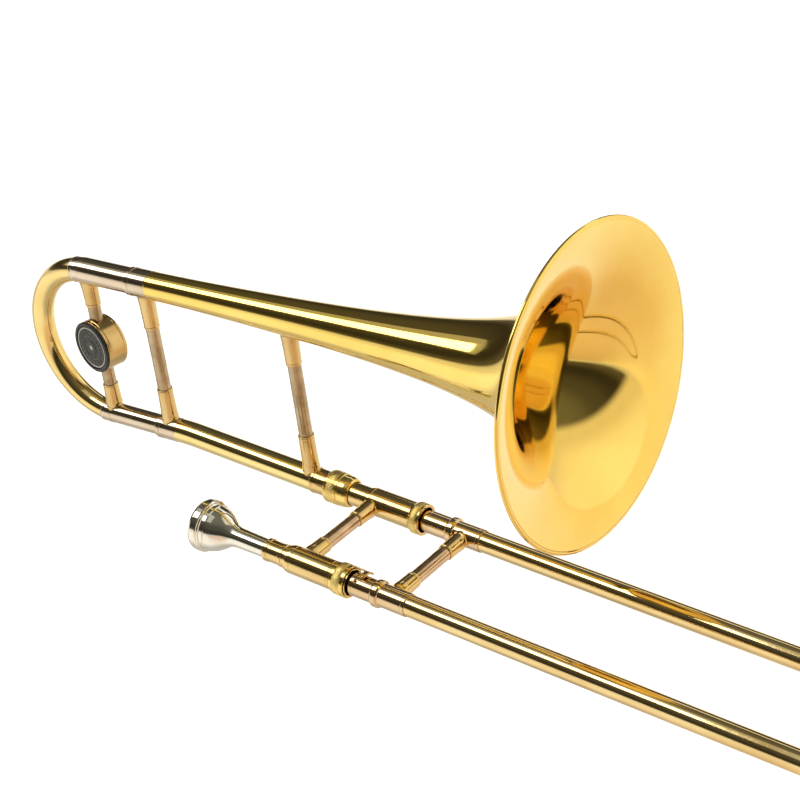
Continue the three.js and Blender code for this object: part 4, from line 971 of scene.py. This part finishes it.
def water_key():
    X, Z = WATER_KEY_X, WATER_KEY_Z
    P = X - 5
    # nipple
    nip = fillet([(7.1, 2.1), (11.0, 2.1, 0.1), (11.0, 3.0, 0.2), (10.4, 3.3, 0.2), (9.0, 3.3, 0.3), (8.2, 3.5, 0.3), (7.1, 4.2, 0.2)], 0.2, 4)
    v, f = lathe(nip, 48)
    v = [(x - (7.35 - math.sqrt(max(0.0, 7.35 ** 2 - y * y))) * max(0.0, min(1.0, (9 - x) / 1.9)), y, z) for x, y, z in v]
    build("drain_nipple", v, f, ASSEMBLY @ at(X + 12, 0, 0) @ DOWN, "outer_slide", ["water_key_nipple"], FITTING)
    # saddle: curved plate and two ears
    verts, faces = [], []
    n = 24
    half = math.radians(34)
    for i in range(n + 1):
        a = -half + 2 * half * i / n
        for x, r in ((P - 4.2, 8.32), (P - 4.2, 9.15), (P + 4.2, 9.15), (P + 4.2, 8.32)):
            verts.append((x, r * math.sin(a), -r * math.cos(a)))
    for i in range(n):
        o = 4 * i
        for j in range(4):
            faces.append((o + j, o + (j + 1) % 4, o + 4 + (j + 1) % 4, o + 4 + j))
    faces += [(0, 3, 2, 1), (4 * n, 4 * n + 1, 4 * n + 2, 4 * n + 3)]
    bevelled(build("saddle_plate", verts, faces, ASSEMBLY, "outer_slide", ["water_key_saddle"], FITTING), 0.0002)
    ear = [(P + 2.4, -8.4), (P + 2.4, Z)]
    ear += [(P + 2.4 * math.cos(a), Z - 2.4 * math.sin(a)) for a in np.linspace(0.15, math.pi - 0.15, 14)]
    ear += [(P - 2.4, Z), (P - 2.4, -8.4)]
    for i, y in enumerate((4.15, -4.15)):
        plate(ear, 1.3, "saddle_ear_%d" % (i + 1), ASSEMBLY @ at(0, y, 0), "outer_slide", [], FITTING, 0.00025)
    # screw with a plain turned head
    scr = fillet([(-4.95, 0), (-4.95, 0.75, 0.1), (-4.7, 0.9, 0.1), (4.7, 0.9, 0.1), (4.85, 1.7, 0.1), (5.7, 1.7, 0.3), (6.1, 1.2, 0.3), (6.1, 0)], 0.15, 4, closed=False)
    v, f = lathe(scr, 40, closed=False)
    build("pivot_screw", v, f, ASSEMBLY @ at(P, 0, Z) @ rot("Z", 90), "outer_slide", ["water_key_screw"], STEEL)
    # lever: hub, arm to the thumb plate, arm to the cup
    hub = fillet([(-1.6, 1.25, 0.1), (3.1, 1.25, 0.1), (3.1, 2.2, 0.25), (-1.6, 2.2, 0.25)], 0.2, 4)
    v, f = lathe(hub, 48)
    build("lever_hub", v, f, ASSEMBLY @ at(P, 0, Z) @ rot("Z", 90), "water_key", ["water_key_lever"], FITTING)
    top = smooth_line([(P + 1.4, Z - 1.4), (P - 3, Z - 3.5), (P - 8, Z - 4.4), (P - 14, Z - 4.65), (P - 24.5, Z - 4.5)], 8)
    bottom = smooth_line([(P - 24.5, Z - 5.4), (P - 14, Z - 5.7), (P - 8, Z - 5.6), (P - 3, Z - 4.9), (P + 1.6, Z - 2.1)], 8)
    plate([tuple(q) for q in top] + [tuple(q) for q in bottom], 3.2, "lever_thumb_arm", ASSEMBLY, "water_key", [], FITTING, 0.0004)
    front = smooth_line([(P + 1.0, Z - 1.75), (P + 5, Z - 1.6), (X + 9.0, Z - 1.6)], 6)
    under = smooth_line([(X + 9.0, Z - 3.3), (P + 5, Z - 3.4), (P + 1.4, Z - 2.3)], 6)
    plate([tuple(q) for q in front] + [tuple(q) for q in under], 3.0, "lever_cup_arm", ASSEMBLY, "water_key", [], FITTING, 0.0004)
    cup = fillet([(-0.0, 3.7, 0.1), (2.0, 3.7, 0.1), (2.0, 0), (3.0, 0), (3.0, 3.4, 0.5), (2.4, 4.3, 0.5), (0.8, 4.4, 0.3), (0, 4.35, 0.15)], 0.2, 4)
    cup = [(0.0, 3.75), (1.9, 3.7), (2.0, 3.6), (2.0, 0)]
    shell = fillet([(2.0, 0), (2.0, 3.7, 0.15), (0.0, 3.7, 0.1), (0.0, 4.4, 0.15), (0.9, 4.4, 0.3), (1.9, 4.2, 0.5), (2.9, 3.2, 0.6), (3.3, 1.6, 0.6), (3.4, 0)], 0.2, 4, closed=False)
    v, f = lathe(shell, 56, closed=False)
    build("lever_cup", v, f, ASSEMBLY @ at(X + 12, 0, Z - 1.0) @ DOWN, "water_key", [], FITTING)
    pl = fillet([(0.0, 0), (0.0, 5.2, 0.3), (0.35, 5.3, 0.3), (1.15, 4.7, 0.5), (1.4, 3.0, 0.5), (1.15, 0)], 0.3, 4, closed=False)
    v, f = lathe(pl, 64, closed=False)
    # oval thumb plate, slightly dished
    v = [(x, y, z * 1.25) for x, y, z in v]
    build("lever_thumb_plate", v, f, ASSEMBLY @ at(P - 25, 0, Z - 4.4) @ DOWN, "water_key", [], FITTING)
    turned("drain_cork", [(0, 0), (0, 3.35, 0.3), (3.65, 3.35, 0.2), (3.65, 0)], ASSEMBLY @ at(X + 12, 0, Z + 1.0) @ DOWN, "water_key", ["water_key_cork"], CORK, 48)
    # torsion spring: coil round the screw
    turns, steps, r = 2.2, 90, 1.75
    pts = []
    for i in range(steps + 1):
        a = 2 * math.pi * turns * i / steps
        pts.append(Vector((P + r * math.sin(a), -3.05 + 0.95 * i / steps, Z + r * math.cos(a))))
    sweep_wire("spring_coil", pts, 0.18, ASSEMBLY, "outer_slide", ["water_key_spring"], STEEL)


def sweep_wire(name, pts, r, place, body, nodes, material, segs=12):
    verts, faces = [], []
    n = len(pts)
    up = Vector((0, 1, 0))
    for i, p in enumerate(pts):
        t = (pts[min(n - 1, i + 1)] - pts[max(0, i - 1)]).normalized()
        a = up.cross(t).normalized()
        b = t.cross(a).normalized()
        for k in range(segs):
            f = 2 * math.pi * k / segs
            verts.append(tuple(p + a * (r * math.cos(f)) + b * (r * math.sin(f))))
    for i in range(n - 1):
        for k in range(segs):
            faces.append((i * segs + k, i * segs + (k + 1) % segs, (i + 1) * segs + (k + 1) % segs, (i + 1) * segs + k))
    faces.append(tuple(range(segs - 1, -1, -1)))
    faces.append(tuple(range((n - 1) * segs, n * segs)))
    return build(name, verts, faces, place, body, nodes, material)


water_key()


# ----------------------------------------------------------------- mouthpiece
def curve(points, n):
    """Monotone cubic through (x, r) points, evenly sampled along x."""
    pts = sorted(points)
    x = np.array([p[0] for p in pts], float)
    y = np.array([p[1] for p in pts], float)
    h = np.diff(x)
    d = np.diff(y) / h
    m = np.zeros_like(x)
    m[0], m[-1] = d[0], d[-1]
    for i in range(1, len(x) - 1):
        if d[i - 1] * d[i] > 0:
            w1, w2 = 2 * h[i] + h[i - 1], h[i] + 2 * h[i - 1]
            m[i] = (w1 + w2) / (w1 / d[i - 1] + w2 / d[i])
    out = []
    for q in np.linspace(x[0], x[-1], n):
        i = min(len(h) - 1, max(0, int(np.searchsorted(x, q)) - 1))
        t = (q - x[i]) / h[i]
        out.append((float(q), float((2 * t ** 3 - 3 * t ** 2 + 1) * y[i] + (t ** 3 - 2 * t ** 2 + t) * h[i] * m[i]
                                    + (-2 * t ** 3 + 3 * t ** 2) * y[i + 1] + (t ** 3 - t ** 2) * h[i] * m[i + 1])))
    return out if points[0][0] < points[-1][0] else out[::-1]


def mouthpiece():
    x, R = MOUTHPIECE_RIM_X, MOUTHPIECE_RIM_R
    rim = fillet([(x + 3.0, 13.1), (x + 0.9, 13.3, 1.2), (x - 0.4, 14.5, 0.9), (x - 0.35, 15.5, 1.4), (x + 0.3, 17.0, 1.2), (x + 2.2, R, 1.2),
                  (x + 6.4, R, 0.4), (x + 7.1, R - 0.35, 0.25), (x + 7.4, R - 0.9, 0.2), (x + 8.3, 16.7, 0.3), (x + 8.7, 15.9, 0.3),
                  (x + 11.4, 15.9, 0.3), (x + 12.1, 15.3, 0.3), (x + 12.6, 15.2)], 0.4, 8, closed=False)
    body = curve([(x + 12.6, 15.2), (x + 15.0, 14.6), (x + 18, 13.25), (x + 21.5, 11.1), (x + 24.6, 8.95), (x + 28.0, 7.3), (x + 32, 6.8),
                  (x + 38, 6.66), (138, 6.35), (163.2, 5.52)], 90)
    end = [(163.6, 5.4), (163.6, 4.6)]
    inner = curve([(163.5, 4.6), (150, 4.2), (132, 3.6), (120, 3.2), (117, 3.15), (114.5, 3.4), (112, 4.6), (109, 6.8), (104, 9.8), (98, 11.7), (91, 12.75), (x + 3.0, 13.1)], 90)
    v, f = lathe(rim[:-1] + body + end + inner[1:-1], 128)
    build("cup_mouthpiece", v, f, MOUTH, "mouthpiece", ["mouthpiece"], SILVER)


mouthpiece()

# --------------------------------------------------------------------- stage
FLOOR_Z = -0.42


def floor():
    size = 14.0
    mesh = bpy.data.meshes.new("floor")
    mesh.from_pydata([(-size, -size, FLOOR_Z), (size, -size, FLOOR_Z), (size, size, FLOOR_Z), (-size, size, FLOOR_Z)], [], [(0, 1, 2, 3)])
    o = bpy.data.objects.new("floor", mesh)
    bpy.context.scene.collection.objects.link(o)
    n = Nodes("floor_paper")
    raw = n.mapped()
    tone = n.noise(raw, 1.3, 2.0, 0.5)
    paper = n.mix(tone, (0.86, 0.86, 0.855), (0.89, 0.89, 0.885))
    # Painted shade seen only in the metal: glossy rays see the floor darker overall, warm brown under the instrument,
    # and a painted dark shadow strip beneath it.
    sep = n.node("ShaderNodeSeparateXYZ")
    n.link(n.coord.outputs["Object"], sep.inputs[0])
    x, y = sep.outputs["X"], sep.outputs["Y"]
    path = n.node("ShaderNodeLightPath")
    # Painted warm shade under the instrument, for glossy rays only.
    painted_warm_shade = n.math("MULTIPLY", n.range(x, -0.10, 0.45, 0, 1), n.range(y, 0.35, 0.85, 1, 0))
    painted_warm_shade = n.math("MULTIPLY", painted_warm_shade, path.outputs["Is Glossy Ray"])
    # Painted shade: the whole floor is darker for glossy rays than for the camera.
    paper = n.mix(path.outputs["Is Glossy Ray"], paper, (0.73, 0.72, 0.695))
    seen = n.mix(painted_warm_shade, paper, (0.63, 0.485, 0.385))
    # Painted shadow: a dark strip on the floor beneath the instrument, seen only in the metal.
    painted_shadow_strip = n.math("SUBTRACT", n.range(y, -0.40, -0.14, 0, 1), n.range(y, 0.30, 0.50, 0, 1))
    painted_shadow_strip = n.math("MULTIPLY", painted_shadow_strip, n.range(x, 0.0, 0.30, 0.5, 0.0))
    painted_shadow_mask = n.math("MULTIPLY", painted_shadow_strip, path.outputs["Is Glossy Ray"])
    seen = n.mix(painted_shadow_mask, seen, (0.05, 0.045, 0.04))
    # Painted light: far off, the floor as the metal sees it brightens and warms into the wall with no line between
    # them.
    along = n.math("ADD", n.math("MULTIPLY", x, 0.766), n.math("MULTIPLY", y, 0.643))
    painted_far_light = n.math("MULTIPLY", n.range(along, 0.5, 4.0, 0, 1), path.outputs["Is Glossy Ray"])
    n.link(n.mix(painted_far_light, seen, (0.88, 0.785, 0.61)), n.bsdf.inputs["Base Color"])
    n.bsdf.inputs["Roughness"].default_value = 0.9
    n.bsdf.inputs["Specular IOR Level"].default_value = 0.1
    mesh.materials.append(n.mat)


floor()


def area(name, loc, x_axis, down, sx, sy, radiance, color=(1, 1, 1), glossy=True):
    """A soft box with its width along x_axis, shining along down."""
    data = bpy.data.lights.new(name, "AREA")
    data.shape = "RECTANGLE"
    data.size, data.size_y = sx, sy
    data.energy = radiance * math.pi * sx * sy
    data.color = color
    o = bpy.data.objects.new(name, data)
    bpy.context.scene.collection.objects.link(o)
    z = -Vector(down).normalized()
    x = (Vector(x_axis) - z * z.dot(Vector(x_axis))).normalized()
    y = z.cross(x)
    mm = Matrix.Identity(4)
    for i in range(3):
        mm[i][0], mm[i][1], mm[i][2] = x[i], y[i], z[i]
    mm.translation = Vector(loc)
    o.matrix_world = mm
    o.visible_glossy = glossy
    return o


# Long strip overhead, a little towards the camera: the white line on the tubes.
area("strip", (-2.20, -0.95, 2.1), (1, 0, 0), (0.35, 0.41, -0.91), 2.95, 1.05, 3.9, (1.0, 0.985, 0.95))
# Its spill on the ceiling round it: the olive sheen above the white line.
area("strip_spill", (-1.9, -0.62, 2.24), (1, 0, 0), (0.35, 0.30, -0.91), 4.2, 1.9, 0.38, (1.0, 0.99, 0.90))
# Fill from behind and above.
area("back_fill", (-0.6, 2.8, 1.9), (1, 0, 0), (0.3, -2.6, -1.7), 2.6, 0.7, 0.9, (1.0, 0.98, 0.95))
# An even wash for the floor: it has no image in the metal.
sun = bpy.data.lights.new("floor_wash", "SUN")
sun.energy = 3.1
sun.angle = math.radians(80)
sun_o = bpy.data.objects.new("floor_wash", sun)
bpy.context.scene.collection.objects.link(sun_o)
sun_o.visible_glossy = False

world = bpy.data.worlds.new("studio")
bpy.context.scene.world = world
world.use_nodes = True
wt = world.node_tree
wt.nodes.clear()
wo = wt.nodes.new("ShaderNodeOutputWorld")
tc = wt.nodes.new("ShaderNodeTexCoord")
sep = wt.nodes.new("ShaderNodeSeparateXYZ")
wt.links.new(tc.outputs["Generated"], sep.inputs[0])


def world_ramp(stops):
    ramp = wt.nodes.new("ShaderNodeValToRGB")
    mr = wt.nodes.new("ShaderNodeMapRange")
    mr.inputs["From Min"].default_value = -1.0
    mr.inputs["From Max"].default_value = 1.0
    wt.links.new(sep.outputs["Z"], mr.inputs["Value"])
    wt.links.new(mr.outputs["Result"], ramp.inputs["Fac"])
    cr = ramp.color_ramp
    cr.interpolation = "EASE"
    cr.elements[0].position, cr.elements[0].color = stops[0][0], (*stops[0][1], 1)
    cr.elements[1].position, cr.elements[1].color = stops[-1][0], (*stops[-1][1], 1)
    for pos, col in stops[1:-1]:
        cr.elements.new(pos).color = (*col, 1)
    return ramp.outputs["Color"]


# The room is dark above the horizon, save for a broad bright wall behind the
# bell's right side.
dark = world_ramp([(0.0, (0.9, 0.88, 0.85)), (0.49, (0.8, 0.79, 0.77)), (0.52, (0.11, 0.10, 0.08)),
                   (0.60, (0.040, 0.036, 0.028)), (0.80, (0.086, 0.082, 0.064)), (1.0, (0.18, 0.175, 0.14))])
dot = wt.nodes.new("ShaderNodeVectorMath")
dot.operation = "DOT_PRODUCT"
wt.links.new(tc.outputs["Generated"], dot.inputs[0])
dot.inputs[1].default_value = (0.754, 0.633, 0.175)


def world_range(lo, hi, to_lo, to_hi):
    r = wt.nodes.new("ShaderNodeMapRange")
    r.interpolation_type = "SMOOTHSTEP"
    r.inputs["From Min"].default_value = lo
    r.inputs["From Max"].default_value = hi
    r.inputs["To Min"].default_value = to_lo
    r.inputs["To Max"].default_value = to_hi
    wt.links.new(dot.outputs["Value"], r.inputs["Value"])
    return r.outputs["Result"]


def world_mix(fac, a, b):
    m = wt.nodes.new("ShaderNodeMix")
    m.data_type = "RGBA"
    wt.links.new(fac, m.inputs["Factor"])
    for key, x in (("A", a), ("B", b)):
        s = [i for i in m.inputs if i.name == key and i.type == "RGBA"][0]
        if isinstance(x, tuple):
            s.default_value = (*x, 1)
        else:
            wt.links.new(x, s)
    return [o for o in m.outputs if o.type == "RGBA"][0]


wall = world_mix(world_range(0.74, 0.99, 0, 1), (0.90, 0.81, 0.65), (1.20, 1.14, 0.97))
room = world_mix(world_range(0.53, 0.67, 0, 1), dark, wall)
bg_gloss = wt.nodes.new("ShaderNodeBackground")
wt.links.new(room, bg_gloss.inputs["Color"])
bg_gloss.inputs["Strength"].default_value = 1.0
bg_cam = wt.nodes.new("ShaderNodeBackground")
bg_cam.inputs["Color"].default_value = (1.0, 1.0, 1.0, 1)
bg_cam.inputs["Strength"].default_value = 1.05
lp = wt.nodes.new("ShaderNodeLightPath")
ms = wt.nodes.new("ShaderNodeMixShader")
wt.links.new(lp.outputs["Is Camera Ray"], ms.inputs[0])
wt.links.new(bg_gloss.outputs[0], ms.inputs[1])
wt.links.new(bg_cam.outputs[0], ms.inputs[2])
wt.links.new(ms.outputs[0], wo.inputs["Surface"])

# -------------------------------------------------------------------- camera
AZ, EL, ROLL = math.radians(38.726), math.radians(31.155), math.radians(-3.953)
back = Vector((math.sin(AZ) * math.cos(EL), -math.cos(AZ) * math.cos(EL), math.sin(EL)))
right = (-back).cross(Vector((0, 0, 1))).normalized()
up = right.cross(-back)
r2 = right * math.cos(ROLL) + up * math.sin(ROLL)
u2 = -right * math.sin(ROLL) + up * math.cos(ROLL)
cam_data = bpy.data.cameras.new("camera")
cam_data.sensor_width = 36.0
cam_data.lens = 94.503
cam_data.clip_start = 0.02
cam_data.clip_end = 60.0
cam = bpy.data.objects.new("camera", cam_data)
bpy.context.scene.collection.objects.link(cam)
m = Matrix.Identity(4)
for i in range(3):
    m[i][0], m[i][1], m[i][2] = r2[i], u2[i], back[i]
m.translation = Vector((0.742615, -0.85445, 0.78106))
cam.matrix_world = m
bpy.context.scene.camera = cam

vs = bpy.context.scene.view_settings
vs.view_transform = "Standard"
vs.look = "None"
vs.exposure = 0.0
vs.gamma = 1.0

bpy.context.view_layer.update()
